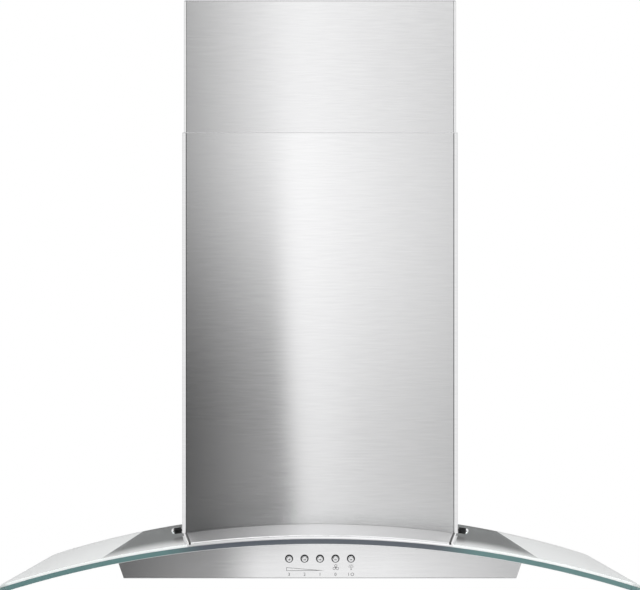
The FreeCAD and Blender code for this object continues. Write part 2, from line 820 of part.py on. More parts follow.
def make_impeller():
    """Fan wheel: a hub disc with a ring of forward curved blades on each side, open at both ends."""
    hub = new_body("Impeller")
    half = "(sizes.impeller_width / 2)"
    radius = "sizes.impeller_radius"
    disc = "(sizes.impeller_disc / 2)"
    boss = "(sizes.impeller_boss_length / 2)"
    bore = "sizes.shaft_radius"
    revolve(hub, outline(new_sketch(hub, "XY"), [
        (f"-{boss}", bore),
        (boss, bore),
        (boss, "sizes.impeller_boss_radius"),
        (disc, "sizes.impeller_boss_radius"),
        (disc, radius),
        (f"-{disc}", radius),
        (f"-{disc}", "sizes.impeller_boss_radius"),
        (f"-{boss}", "sizes.impeller_boss_radius"),
    ]), "X")
    keep(place(hub, "0", "places.y_fan", "places.z_fan"), "impeller")
    root = f"({radius} - sizes.blade_depth)"
    tip = f"({radius} - sizes.blade_thick / 2)"
    curve = "sizes.blade_curve"
    thick = "sizes.blade_thick"
    lean = "sizes.blade_lean"
    base = f"({disc} + sizes.seat_gap)"
    for name, side in (("left", -1), ("right", 1)):
        ring = new_body("BladeRing")
        foot = new_sketch(ring, "YZ", f"{side} * {base}")
        circle(foot, "0", "0", radius)
        circle(foot, "0", "0", f"{root} - sizes.blade_thick")
        pad(ring, foot, "sizes.blade_ring_thick", reverse=side < 0)
        blade = outline(new_sketch(ring, "YZ", f"{side} * {base}"), [
            (root, "0", curve, "left"),
            (tip, lean),
            (tip, f"{lean} + {thick}", f"{curve} + {thick}", "right"),
            (root, thick),
        ])
        first_blade = pad(ring, blade, f"{half} - {base}", reverse=side < 0)
        doc.recompute()
        pattern = ring.newObject("PartDesign::PolarPattern", "Blades")
        pattern.Originals = [first_blade]
        pattern.Axis = (origin_feature(ring, "X_Axis"), [""])
        pattern.Angle = 360
        bind(pattern, Occurrences="sizes.blade_count")
        ring.Tip = pattern
        rim = new_sketch(ring, "YZ", f"{side} * {half}")
        circle(rim, "0", "0", radius)
        circle(rim, "0", "0", f"{radius} - sizes.impeller_rim")
        pad(ring, rim, "sizes.impeller_rim", reverse=side > 0)
        keep(place(ring, "0", "places.y_fan", "places.z_fan"), f"blade_ring_{name}")


def make_motor():
    """Motor on a three armed bracket at the right inlet, with its shaft and the impeller's nut."""
    face = "places.motor_face"
    radius = "sizes.motor_radius"
    bore = "(sizes.shaft_radius + sizes.running_gap)"
    rounding = "sizes.motor_round"
    end = f"({face} + sizes.motor_length)"
    motor = new_body("Motor")
    revolve(motor, outline(new_sketch(motor, "XY"), [
        (face, bore),
        (face, f"{radius} - {rounding}", rounding, "right"),
        (f"{face} + {rounding}", radius),
        (f"{end} - {rounding}", radius, rounding, "right"),
        (end, f"{radius} - {rounding}"),
        (end, "0"),
        (f"{face} + sizes.shaft_in_motor", "0"),
        (f"{face} + sizes.shaft_in_motor", bore),
    ]), "X")
    keep(place(motor, "0", "places.y_fan", "places.z_fan"), "motor_body")

    bracket = new_body("MotorBracket")
    near = "(places.arm_face - sizes.arm_thick)"
    reach = "(sizes.inlet_radius + sizes.inlet_ring_width)"
    hub = circle(new_sketch(bracket, "YZ", near), "0", "0", "sizes.arm_hub_radius")
    pad(bracket, hub, "sizes.arm_thick")
    arm = new_sketch(bracket, "YZ", near)
    rectangle(arm, "-sizes.arm_width / 2", "sizes.arm_width / 2", "0", reach)
    first_arm = pad(bracket, arm, "sizes.arm_thick")
    doc.recompute()
    pattern = bracket.newObject("PartDesign::PolarPattern", "Arms")
    pattern.Originals = [first_arm]
    pattern.Axis = (origin_feature(bracket, "X_Axis"), [""])
    pattern.Angle = 360
    bind(pattern, Occurrences="sizes.arm_count")
    bracket.Tip = pattern
    pocket(bracket, circle(new_sketch(bracket, "YZ"), "0", "0", "sizes.arm_eye_radius"), symmetric=True)
    keep(place(bracket, "0", "places.y_fan", "places.z_fan"), "motor_bracket")

    boss = "(sizes.impeller_boss_length / 2)"
    nut_face = f"({boss} + sizes.seat_gap)"
    tail = f"(-{nut_face} - sizes.nut_thick - sizes.shaft_past_nut)"
    tip = f"({face} + sizes.shaft_in_motor - sizes.seat_gap)"
    shaft = new_rod("sizes.shaft_radius - sizes.running_gap / 2", f"{tip} - {tail}", tail,
                    "places.y_fan", "places.z_fan", along="X")
    keep(shaft, "motor_shaft")
    nut = doc.addObject("Part::Prism", "Nut")
    nut.Polygon = 6
    bind(nut, Circumradius="sizes.nut_radius", Height="sizes.nut_thick")
    nut.Placement.Rotation = FreeCAD.Rotation(Vector(0, 0, 1), Vector(1, 0, 0))
    spot = (f"-{nut_face} - sizes.nut_thick", "places.y_fan", "places.z_fan")
    hole = new_rod("sizes.shaft_radius", "sizes.nut_thick", *spot, along="X")
    keep(cut(place(nut, *spot), hole), "impeller_nut")


def make_collar():
    """Round outlet collar with a ledge that the damper flaps close on."""
    body = new_body("Collar")
    outer = "sizes.collar_radius"
    bore = "places.collar_bore"
    ledge = f"({bore} - sizes.collar_ledge)"
    base = "sizes.collar_flange_thick"
    seat = "(sizes.rod_rise - sizes.knuckle_radius - sizes.seat_gap)"
    revolve(body, outline(new_sketch(body, "XZ"), [
        (bore, "sizes.seat_gap"),
        (f"{outer} + sizes.collar_flange", "sizes.seat_gap"),
        (f"{outer} + sizes.collar_flange", base),
        (outer, base),
        (outer, "sizes.collar_height"),
        (bore, "sizes.collar_height"),
        (bore, seat),
        (ledge, seat),
        (ledge, f"{seat} - sizes.collar_ledge_thick"),
        (bore, f"{seat} - sizes.collar_ledge_thick - sizes.collar_ledge"),
    ]), "Z")
    holes = new_sketch(body, "YZ")
    for side in (-1, 1):
        circle(holes, f"{side} * sizes.rod_spread / 2", "sizes.rod_rise",
               "sizes.rod_radius + sizes.running_gap")
    pocket(body, holes, symmetric=True)
    keep(place(body, "0", "places.y_collar", "places.z_box"), "outlet_collar")


def make_damper():
    """Two half round flaps on rods that cross the collar."""
    plate_radius = "(places.collar_bore - sizes.flap_clear)"
    for name, side in (("front", -1), ("rear", 1)):
        spot_y = f"places.y_collar + {side} * sizes.rod_spread / 2"
        rod = new_rod("sizes.rod_radius", "2 * (sizes.collar_radius - sizes.seat_gap)",
                      "sizes.seat_gap - sizes.collar_radius", spot_y, "places.z_rod", along="X")
        keep(rod, f"damper_rod_{name}")
        body = new_body("Flap")
        low = "-sizes.knuckle_radius"
        edge = f"{side} * sizes.rod_spread / 2"
        chord = f"sqrt({plate_radius} ^ 2 - (sizes.rod_spread / 2) ^ 2)"
        far = f"{side} * ({plate_radius} - sizes.rod_spread / 2)"
        turn = "left" if side > 0 else "right"
        plate = outline(new_sketch(body, "XY", low), [
            (f"-{chord}", "0"),
            (chord, "0", plate_radius, turn),
            ("0", far, plate_radius, turn),
        ])
        pad(body, plate, "sizes.flap_thick")
        for wing in (-1, 1):
            middle = f"{wing} * sizes.knuckle_spread / 2"
            barrel = circle(new_sketch(body, "YZ", middle), "0", "0", "sizes.knuckle_radius")
            pad(body, barrel, "sizes.knuckle_length", symmetric=True)
        bore = circle(new_sketch(body, "YZ"), "0", "0", "sizes.rod_radius + sizes.running_gap")
        pocket(body, bore, symmetric=True)
        keep(place(body, "0", spot_y, "places.z_rod"), f"damper_flap_{name}")


def make_electrics():
    """Junction box with cover and gland on one side of the blower box, capacitor on the other."""
    wall = "sizes.sheet_thick"
    x = "places.half_box + sizes.seat_gap"
    y = "sizes.junction_setback - sizes.box_depth"
    z = "sizes.junction_rise - sizes.junction_height / 2"
    depth = "(sizes.junction_depth - sizes.sheet_thick)"
    tray = new_box(depth, "sizes.junction_width", "sizes.junction_height", x, y, z)
    inside = new_box(depth, f"sizes.junction_width - 2 * {wall}", f"sizes.junction_height - 2 * {wall}",
                     f"{x} + {wall}", f"{y} + {wall}", f"{z} + {wall}")
    gland_x = f"{x} + sizes.junction_depth / 2"
    gland_y = f"{y} + sizes.junction_width / 2"
    top = f"{z} + sizes.junction_height"
    entry = new_rod("sizes.gland_bore + sizes.seat_gap", "2 * sizes.overrun", gland_x, gland_y,
                    f"{top} - sizes.overrun")
    keep(cut(tray, inside, entry), "junction_box")
    cover = new_box(f"{wall} - sizes.seat_gap", "sizes.junction_width", "sizes.junction_height",
                    f"{x} + {depth} + sizes.seat_gap", y, z)
    keep(cover, "junction_cover")
    gland = new_rod("sizes.gland_radius", "sizes.gland_length", gland_x, gland_y, f"{top} + sizes.seat_gap")
    way = new_rod("sizes.gland_bore", "sizes.gland_length", gland_x, gland_y, f"{top} + sizes.seat_gap")
    keep(cut(gland, way), "cable_gland")

    can_x = "-places.half_box - sizes.seat_gap"
    can = new_box("sizes.capacitor_depth", "sizes.capacitor_width", "sizes.capacitor_height",
                  f"{can_x} - sizes.capacitor_depth", y, z)
    ear = new_box("sizes.capacitor_ear_thick", "sizes.capacitor_width", "sizes.capacitor_ear",
                  f"{can_x} - sizes.capacitor_ear_thick", y, f"{z} + sizes.capacitor_height")
    screw_hole = new_rod("sizes.capacitor_ear_hole", "2 * sizes.overrun", f"{can_x} - sizes.overrun",
                         f"{y} + sizes.capacitor_width / 2",
                         f"{z} + sizes.capacitor_height + sizes.capacitor_ear / 2", along="X")
    keep(cut(join(can, ear), screw_hole), "capacitor")


# Controls


def make_controls():
    """Five push buttons through the front panel, in one switch housing behind it."""
    housing = new_body("SwitchHousing")
    inner = "(-places.y_panel - sizes.sheet_thick - sizes.seat_gap)"
    block = new_sketch(housing, "XZ", inner)
    rectangle(block, "-sizes.switch_width / 2", "sizes.switch_width / 2",
              "places.z_button - sizes.switch_height / 2", "places.z_button + sizes.switch_height / 2")
    pad(housing, block, "sizes.switch_depth", reverse=True)
    well = "(sizes.button_recess + sizes.button_length + sizes.button_travel + sizes.seat_gap)"
    wells = new_sketch(housing, "XZ", inner)
    bores = new_sketch(housing, "XZ", inner)
    for number in range(-2, 3):
        spot = (f"{number} * sizes.button_pitch", "places.z_button")
        circle(wells, *spot, "places.button_hole")
        circle(bores, *spot, "sizes.stem_radius + sizes.running_gap")
    pocket(housing, wells, f"{well} - sizes.sheet_thick - sizes.seat_gap")
    pocket(housing, bores)
    keep(housing, "switch_housing")

    names = ("high", "medium", "low", "off", "light")
    radius = "sizes.button_radius"
    face = "sizes.button_recess"
    for number, name in enumerate(names, -2):
        body = new_body("Button")
        rear = f"({face} + sizes.button_length)"
        revolve(body, outline(new_sketch(body, "XY"), [
            ("0", f"{face} + sizes.button_dimple"),
            ("sizes.button_dimple_radius", f"{face} + sizes.button_dimple"),
            ("sizes.button_dimple_radius", face),
            (f"{radius} - sizes.button_dome", face, "sizes.button_dome", "left"),
            (radius, f"{face} + sizes.button_dome"),
            (radius, rear),
            ("sizes.stem_radius", rear),
            ("sizes.stem_radius", f"{rear} + sizes.stem_length"),
            ("0", f"{rear} + sizes.stem_length"),
        ]), "Y")
        place(body, f"{number} * sizes.button_pitch", "places.y_panel", "places.z_button")
        keep(body, f"button_{name}")


# Chimney


def channel(sketch, half, front, back, bend, wall, flange=None):
    """Draw a folded sheet: two sides, a front with bent corners and, where asked, rear flanges."""
    inner = f"({half} - {wall})"
    straight = f"({half} - {bend})"
    curve = f"({front} + {bend})"
    inside_bend = f"({bend} - {wall})"
    rear = f"({back} - {wall})" if flange else back
    left_end = [(f"-{inner}", rear)]
    right_end = [(inner, rear)]
    if flange:
        right_end = [(f"{half} - {flange}", back), (f"{half} - {flange}", rear), (inner, rear)]
        left_end = [(f"-{inner}", rear), (f"-{half} + {flange}", rear), (f"-{half} + {flange}", back)]
    return outline(sketch, [
        (f"-{half}", back),
        (f"-{half}", curve, bend, "left"),
        (f"-{straight}", front),
        (straight, front, bend, "left"),
        (half, curve),
        (half, back),
        *right_end,
        (inner, curve, inside_bend, "right"),
        (straight, f"{front} + {wall}"),
        (f"-{straight}", f"{front} + {wall}", inside_bend, "right"),
        (f"-{inner}", curve),
        *left_end,
    ])


def make_lower_cover():
    """Lower cover: its foot follows the saddle and its top edge is hemmed inwards."""
    body = new_body("LowerCover")
    half = "places.half_cover"
    wall = "sizes.sheet_thick"
    foot = arc_height("places.cover_low", half)
    sheet = channel(new_sketch(body, "XY", foot), half, "-places.cover_depth", "0", "sizes.cover_bend", wall,
                    "sizes.cover_flange")
    pad(body, sheet, f"places.z_cover - ({foot})")
    hem_wall = "(sizes.cover_step - sizes.sheet_thick - sizes.seat_gap)"
    hem = channel(new_sketch(body, "XY", "places.z_cover"), f"({half} - {wall})",
                  "(sizes.sheet_thick - places.cover_depth)", "(-sizes.sheet_thick)",
                  "(sizes.cover_bend - sizes.sheet_thick)", hem_wall)
    pad(body, hem, "sizes.cover_hem", reverse=True)
    across = f"({half} + sizes.overrun)"
    low = f"{foot} - sizes.canopy_drop"
    pocket(body, outline(new_sketch(body, "XZ"), [
        (f"-{across}", low),
        (across, low),
        (across, arc_height("places.cover_low", across), "places.cover_low", "left"),
        (f"-{across}", arc_height("places.cover_low", across)),
    ]), reverse=True)
    holes = new_sketch(body, "YZ")
    knob_z = arc_height("(sizes.arch_radius + sizes.knob_height)", half)
    circle(holes, "places.y_knob", knob_z, "sizes.knob_shank_radius + sizes.button_gap")
    pocket(body, holes, symmetric=True)
    keep(body, "lower_chimney")


def make_upper_cover():
    """Upper cover, which slides inside the lower one, with its wall bracket and screws."""
    body = new_body("UpperCover")
    half = "places.half_upper"
    wall = "sizes.sheet_thick"
    front = "(sizes.cover_step - places.cover_depth)"
    sheet = channel(new_sketch(body, "XY", "places.z_upper"), half, front, "places.y_upper",
                    "(sizes.cover_bend - sizes.cover_step)", wall, "sizes.cover_flange")
    pad(body, sheet, "sizes.upper_length", reverse=True)
    screw_y = "places.y_upper - sizes.bracket_reach + sizes.bracket_drop"
    screw_z = "places.z_upper - sizes.bracket_drop - sizes.bracket_height / 2"
    holes = circle(new_sketch(body, "YZ"), screw_y, screw_z, "sizes.bracket_screw_radius + sizes.seat_gap")
    pocket(body, holes, symmetric=True)
    keep(body, "upper_chimney")

    bracket = new_body("Bracket")
    reach = f"({half} - {wall} - sizes.seat_gap)"
    thick = "sizes.bracket_thick"
    rear = "(places.y_upper - sizes.sheet_thick - sizes.seat_gap)"
    front_edge = f"({rear} - sizes.bracket_reach)"
    strip = outline(new_sketch(bracket, "XY", "places.z_upper - sizes.bracket_drop"), [
        (f"-{reach}", rear),
        (f"-{reach}", front_edge),
        (f"-{reach} + {thick}", front_edge),
        (f"-{reach} + {thick}", f"{rear} - {thick}"),
        (f"{reach} - {thick}", f"{rear} - {thick}"),
        (f"{reach} - {thick}", front_edge),
        (reach, front_edge),
        (reach, rear),
    ])
    pad(bracket, strip, "sizes.bracket_height", reverse=True)
    wall_holes = new_sketch(bracket, "XZ", "sizes.overrun")
    for side in (-1, 1):
        circle(wall_holes, f"{side} * sizes.bracket_hole_pitch / 2", screw_z, "sizes.bracket_hole_radius")
    pocket(bracket, wall_holes, "2 * sizes.overrun")
    pocket(bracket, circle(new_sketch(bracket, "YZ"), screw_y, screw_z,
                           "sizes.bracket_screw_radius + sizes.seat_gap"), symmetric=True)
    keep(bracket, "chimney_bracket")

    for name, side in (("left", -1), ("right", 1)):
        screw = new_body("BracketScrew")
        outer = "sizes.seat_gap"
        turn_profile = outline(new_sketch(screw, "XY"), [
            (f"-{side} * sizes.bracket_screw_length", "0"),
            (f"{side} * ({outer} + sizes.bracket_screw_head)", "0"),
            (f"{side} * ({outer} + sizes.bracket_screw_head)", "sizes.bracket_screw_head_radius"),
            (f"{side} * {outer}", "sizes.bracket_screw_head_radius"),
            (f"{side} * {outer}", "sizes.bracket_screw_radius"),
            (f"-{side} * sizes.bracket_screw_length", "sizes.bracket_screw_radius"),
        ])
        revolve(screw, turn_profile, "X")
        keep(place(screw, f"{side} * {half}", screw_y, screw_z), f"bracket_screw_{name}")


def make_cover_screws():
    """Black screws with bright ends that hold the lower cover, square to tabs on the saddle."""
    height = "(sizes.arch_radius + sizes.knob_height)"
    for name, side in (("left", -1), ("right", 1)):
        spot = ("0", "places.y_knob", "places.z_arch")
        turn = f"{side} * places.knob_angle"
        start = f"{side} * sizes.sheet_thick"
        knob = new_body("Knob")
        revolve(knob, outline(new_sketch(knob, "XY"), [
            (f"-{side} * sizes.knob_shank_length", "0"),
            (f"{side} * sizes.knob_length", "0"),
            (f"{side} * sizes.knob_length", "sizes.knob_radius"),
            (start, "sizes.knob_radius"),
            (start, "sizes.knob_shank_radius"),
            (f"-{side} * sizes.knob_shank_length", "sizes.knob_shank_radius"),
        ]), "X")
        across = f"sin({turn}) * {height}"
        rise = f"places.z_arch + cos({turn}) * {height}"
        keep(place(knob, across, "places.y_knob", rise, turn=turn), f"cover_screw_{name}")
        cap = new_body("KnobCap")
        bevel = "(sizes.knob_cap_length / 2)"
        inner = "(sizes.knob_length + sizes.seat_gap)"
        revolve(cap, outline(new_sketch(cap, "XY"), [
            (f"{side} * {inner}", "0"),
            (f"{side} * ({inner} + sizes.knob_cap_length)", "0"),
            (f"{side} * ({inner} + sizes.knob_cap_length)", f"sizes.knob_cap_radius - {bevel}"),
            (f"{side} * ({inner} + {bevel})", "sizes.knob_cap_radius"),
            (f"{side} * {inner}", "sizes.knob_cap_radius"),
        ]), "X")
        keep(place(cap, across, "places.y_knob", rise, turn=turn), f"cover_screw_cap_{name}")
        tab = new_body("Tab")
        foot = "(sizes.saddle_thick + 2 * sizes.seat_gap)"
        base = f"(sizes.arch_radius + {foot})"
        wall = f"(-{side} * sizes.tab_inset)"
        inside = f"({wall} - {side} * sizes.tab_thick)"
        far = f"({wall} - {side} * sizes.tab_reach)"
        pad(tab, outline(new_sketch(tab, "XZ"), [
            (wall, base),
            (wall, f"{base} + sizes.tab_height"),
            (inside, f"{base} + sizes.tab_height"),
            (inside, f"{base} + sizes.tab_thick"),
            (far, f"{base} + sizes.tab_thick"),
            (far, base),
        ]), "sizes.tab_width", symmetric=True)
        pocket(tab, circle(new_sketch(tab, "YZ"), "0", height, "sizes.knob_shank_radius + sizes.seat_gap"),
               symmetric=True)
        keep(place(tab, *spot, turn=turn), f"cover_tab_{name}")


# Grease filters


def make_filters():
    """Two grease filters with a mesh pad, a rear tongue and a sliding latch each."""
    half = "(places.filter_width / 2)"
    near = "places.y_filter"
    far = "(places.y_filter - sizes.filter_depth)"
    low = "places.z_panel"
    bar = "sizes.filter_bar"
    window_far = f"({far} + sizes.filter_front_bar)"
    latch_far = "places.y_latch"
    room = "(sizes.latch_length + sizes.latch_travel + 2 * sizes.latch_gap)"
    for name, side in (("left", -1), ("right", 1)):
        spot = (f"{side} * places.filter_x", "0", "0")
        frame = new_body("FilterFrame")
        plan = new_sketch(frame, "XY", low)
        rectangle(plan, f"-{half}", half, far, near)
        rectangle(plan, f"-{half} + {bar}", f"{half} - {bar}", window_far, f"{near} - {bar}")
        well = "(sizes.latch_width / 2 + sizes.latch_gap)"
        rectangle(plan, f"-{well}", well, latch_far, f"{latch_far} + {room}")
        pad(frame, plan, "sizes.filter_thick")
        slot = new_sketch(frame, "XZ", f"-{latch_far} - sizes.overrun")
        slit = "(sizes.nose_width / 2 + sizes.latch_gap)"
        rectangle(slot, f"-{slit}", slit, "places.z_nose - sizes.latch_gap",
                  "places.z_nose + sizes.nose_thick + sizes.latch_gap")
        pocket(frame, slot, "sizes.latch_wall + 2 * sizes.overrun", reverse=True)
        tongue = new_sketch(frame, "XY", "places.z_nose")
        rectangle(tongue, "-sizes.tongue_width / 2", "sizes.tongue_width / 2", f"{near} - {bar} / 2",
                  f"{near} + sizes.tongue_reach")
        pad(frame, tongue, "sizes.sheet_thick")
        keep(place(frame, *spot), f"filter_frame_{name}")

        gap = "sizes.seat_gap"
        mesh = new_box(f"places.filter_width - 2 * {bar} - 2 * {gap}",
                       f"sizes.filter_depth - {bar} - sizes.filter_front_bar - 2 * {gap}", "sizes.mesh_thick",
                       f"{side} * places.filter_x - {half} + {bar} + {gap}", f"{window_far} + {gap}",
                       f"{low} + (sizes.filter_thick - sizes.mesh_thick) / 2")
        keep(mesh, f"filter_mesh_{name}")

        block_y = f"{latch_far} + sizes.latch_gap"
        block_x = f"{side} * places.filter_x - sizes.latch_width / 2"
        block_z = f"{low} + (sizes.filter_thick - sizes.latch_thick) / 2"
        block = new_box("sizes.latch_width", "sizes.latch_length", "sizes.latch_thick",
                        block_x, block_y, block_z)
        nose_length = "(sizes.latch_wall + sizes.nose_short + sizes.latch_gap)"
        nose = new_box("sizes.nose_width", f"{nose_length} + sizes.latch_length / 2", "sizes.nose_thick",
                       f"{side} * places.filter_x - sizes.nose_width / 2",
                       f"{latch_far} - sizes.latch_wall - sizes.nose_short", "places.z_nose")
        grip = new_box("sizes.latch_width", "sizes.latch_grip", "sizes.filter_thick / 2",
                       block_x, block_y, low)
        keep(join(block, nose, grip), f"filter_latch_{name}")


make_glass()
make_shell()
make_underside()
make_gasket()
make_saddle()
make_bolts()
make_lamps()
make_blower_box()
make_scroll()
make_inlet_rings()
make_impeller()
make_motor()
make_collar()
make_damper()
make_electrics()
make_controls()
make_lower_cover()
make_upper_cover()
make_cover_screws()
make_filters()
doc.recompute()

# Nothing is written unless every object of the document came out whole
for item in doc.Objects:
    if "Invalid" in item.State or "Error" in item.State:
        raise RuntimeError(f"{item.Label} failed: {item.State}")
for node in nodes:
    if node.Shape.isNull() or not node.Shape.isValid():
        raise RuntimeError(f"{node.Label} has no valid shape")
os.makedirs("parts", exist_ok=True)
for node in nodes:
    node.Shape.exportStep(f"parts/{node.Label}.step")
    print(f"{node.Label}: {len(node.Shape.Solids)} solid, {node.Shape.Volume:.0f} cubic mm")
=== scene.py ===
"""Looks of a wall mount range hood with a glass canopy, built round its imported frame."""

import json
import logging
import math
from dataclasses import dataclass, field
from enum import Enum
from typing import Any, Iterable

import bmesh
import bpy
from bmesh.types import BMesh
from bpy.types import Material, Node, NodeSocket, Object
from mathutils import Matrix, Vector


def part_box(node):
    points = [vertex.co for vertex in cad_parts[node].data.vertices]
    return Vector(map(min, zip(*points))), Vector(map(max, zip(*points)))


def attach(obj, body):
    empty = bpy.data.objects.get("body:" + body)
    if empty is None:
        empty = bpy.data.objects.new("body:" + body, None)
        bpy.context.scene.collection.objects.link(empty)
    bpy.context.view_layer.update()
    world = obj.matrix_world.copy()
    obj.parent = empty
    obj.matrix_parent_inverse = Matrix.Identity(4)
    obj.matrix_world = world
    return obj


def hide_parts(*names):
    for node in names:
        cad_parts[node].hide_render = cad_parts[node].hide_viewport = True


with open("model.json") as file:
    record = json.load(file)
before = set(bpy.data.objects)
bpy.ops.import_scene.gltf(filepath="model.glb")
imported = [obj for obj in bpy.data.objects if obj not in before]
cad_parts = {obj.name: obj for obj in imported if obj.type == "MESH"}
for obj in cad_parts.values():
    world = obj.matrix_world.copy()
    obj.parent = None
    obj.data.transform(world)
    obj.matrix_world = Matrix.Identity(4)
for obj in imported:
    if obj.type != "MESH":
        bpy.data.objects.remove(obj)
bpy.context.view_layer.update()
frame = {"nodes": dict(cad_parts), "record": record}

LOG = logging.getLogger("hood")

Colour = tuple[float, float, float]
Point = tuple[float, float, float]
Spot = tuple[float, float]
# A level at the start and at the end, and then the start and the end themselves.
Ramp = tuple[float, float, float, float]

WHITE = (1.0, 1.0, 1.0, 1.0)
GLASS_IOR = 1.5
FORWARD: Point = (0.0, -1.0, 0.0)
STILL: Point = (0.0, 0.0, 0.0)
LEVEL: Point = (0.0, 0.0, 0.0)
UPRIGHT: Point = (90.0, 0.0, 0.0)
# Points closer than this, in metres, are one point.
SAME = 1e-6


class Grain(Enum):
    """Which way the grain of a brushed sheet runs, as a scale of its streaks."""

    ROUND = (32.0, 32.0, 620.0)
    ACROSS = (11.0, 480.0, 90.0)


class Sight(Enum):
    """Which rays see a card of the stage."""

    ALL = "all rays"
    UNSEEN = "all but the camera's"
    MIRRORED = "mirrored rays alone"


@dataclass(frozen=True)
class Arch:
    """The arch that the glass, the saddle and the screws beside the chimney follow."""

    axis: float = -1.385
    top: float = 1.245

    def height(self, across: float, above: float) -> float:
        """Gives the height of a point across from the middle and above the glass."""
        return self.axis + math.sqrt((self.top + above) ** 2 - across ** 2)


ARCH = Arch()


class Graph:
    """The node tree of one material, with short ways to add and join its nodes."""

    def __init__(self, name: str) -> None:
        """Starts a material.

        Args:
            name: the material's name.
        """
        self.material = bpy.data.materials.new(name)
        self.material.use_nodes = True
        self.tree = self.material.node_tree
        self.shader = self.tree.nodes["Principled BSDF"]
        self.output = self.tree.nodes["Material Output"]

    def add(self, kind: str, inputs: dict[str, Any] | None = None, **settings: Any) -> Node:
        """Adds a node.

        Args:
            kind: the node's type name.
            inputs: socket values by socket name.
            settings: values of the node's own properties.

        Returns:
            The new node.
        """
        node = self.tree.nodes.new(kind)
        for name, value in settings.items():
            setattr(node, name, value)
        for name, value in (inputs or {}).items():
            node.inputs[name].default_value = value
        return node

    def join(self, source: NodeSocket, target: NodeSocket) -> None:
        """Links one socket to another."""
        self.tree.links.new(source, target)

    def dress(self, **values: Any) -> None:
        """Sets the shader's own sockets; an underscore in a name stands for a space."""
        for name, value in values.items():
            self.shader.inputs[name.replace("_", " ")].default_value = value

    def feed(self, **sources: NodeSocket) -> None:
        """Links sockets to the shader's own; an underscore in a name stands for a space."""
        for name, source in sources.items():
            self.join(source, self.shader.inputs[name.replace("_", " ")])

    def place(self, scale: Point = (1.0, 1.0, 1.0)) -> NodeSocket:
        """Gives the piece's own coordinates, scaled.

        Args:
            scale: how many pattern units go to a metre, along each axis.

        Returns:
            The vector socket.
        """
        coords = self.add("ShaderNodeTexCoord")
        mapping = self.add("ShaderNodeMapping", {"Scale": scale})
        self.join(coords.outputs["Object"], mapping.inputs["Vector"])
        return mapping.outputs["Vector"]

    def axes(self, where: NodeSocket) -> tuple[NodeSocket, NodeSocket]:
        """Takes coordinates apart.

        Args:
            where: the coordinates.

        Returns:
            The sockets of X and Y.
        """
        parts = self.add("ShaderNodeSeparateXYZ")
        self.join(where, parts.inputs["Vector"])
        return parts.outputs["X"], parts.outputs["Y"]

    def noise(self, where: NodeSocket, scale: float, detail: float) -> NodeSocket:
        """Adds a noise texture and gives its value.

        Args:
            where: the coordinates.
            scale: the noise's scale.
            detail: the number of finer layers.

        Returns:
            The value socket.
        """
        settings = {"Scale": scale, "Detail": detail, "Roughness": 0.6}
        node = self.add("ShaderNodeTexNoise", settings)
        self.join(where, node.inputs["Vector"])
        return node.outputs["Fac"]

    def span(self, value: NodeSocket, low: float, high: float, start: float = 0.0,
             end: float = 1.0, smooth: bool = False) -> NodeSocket:
        """Maps a value from one range to another, and holds it there.

        Args:
            value: the value, from start to end.
            low: what start becomes.
            high: what end becomes.
            start: the lower end of the value's range.
            end: the upper end of the value's range.
            smooth: whether the change eases in and out.

        Returns:
            The mapped value's socket.
        """
        limits = {"From Min": start, "From Max": end, "To Min": low, "To Max": high}
        node = self.add("ShaderNodeMapRange", limits)
        if smooth:
            node.interpolation_type = "SMOOTHSTEP"
        self.join(value, node.inputs["Value"])
        return node.outputs["Result"]

    def remains(self, value: NodeSocket) -> NodeSocket:
        """Gives what a value leaves of 1."""
        return self.span(value, 1.0, 0.0)

    def shades(self, value: NodeSocket, dark: Colour, light: Colour) -> NodeSocket:
        """Mixes two colours by a value.

        Args:
            value: 0 for the first colour, 1 for the second.
            dark: the first colour.
            light: the second colour.

        Returns:
            The colour socket.
        """
        node = self.add("ShaderNodeMix", data_type="RGBA")
        node.inputs[6].default_value = (*dark, 1.0)
        node.inputs[7].default_value = (*light, 1.0)
        self.join(value, node.inputs["Factor"])
        return node.outputs[2]

    def maths(self, operation: str, *values: NodeSocket) -> NodeSocket:
        """Adds a node of arithmetic.

        Args:
            operation: the node's operation.
            values: the one or two values that it takes.

        Returns:
            The result's socket.
        """
        node = self.add("ShaderNodeMath", operation=operation)
        for value, socket in zip(values, node.inputs):
            self.join(value, socket)
        return node.outputs["Value"]

    def times(self, first: NodeSocket, *others: NodeSocket) -> NodeSocket:
        """Multiplies values.

        Args:
            first: one value.
            others: the other values.

        Returns:
            The product's socket.
        """
        for other in others:
            first = self.maths("MULTIPLY", first, other)
        return first

    def bump(self, height: NodeSocket, strength: float, depth: float) -> None:
        """Gives the shader a bump.

        Args:
            height: the height's socket.
            strength: how strongly it shows.
            depth: the bump's depth in metres.
        """
        node = self.add("ShaderNodeBump", {"Strength": strength, "Distance": depth})
        self.join(height, node.inputs["Height"])
        self.feed(Normal=node.outputs["Normal"])


@dataclass(frozen=True)
class Finish:
    """A finish, known by its name and its values."""

    name: str

    def paint(self, graph: Graph) -> None:
        """Sets up the material's nodes.

        Args:
            graph: the material's node tree.
        """
        raise NotImplementedError

    def material(self) -> Material:
        """Makes the material.

        Returns:
            The new material.
        """
        graph = Graph(self.name)
        self.paint(graph)
        return graph.material

    @staticmethod
    def toned(tone: Colour, share: float) -> Colour:
        """Gives a darker or lighter tone, white at most."""
        return tuple(min(1.0, share * part) for part in tone)


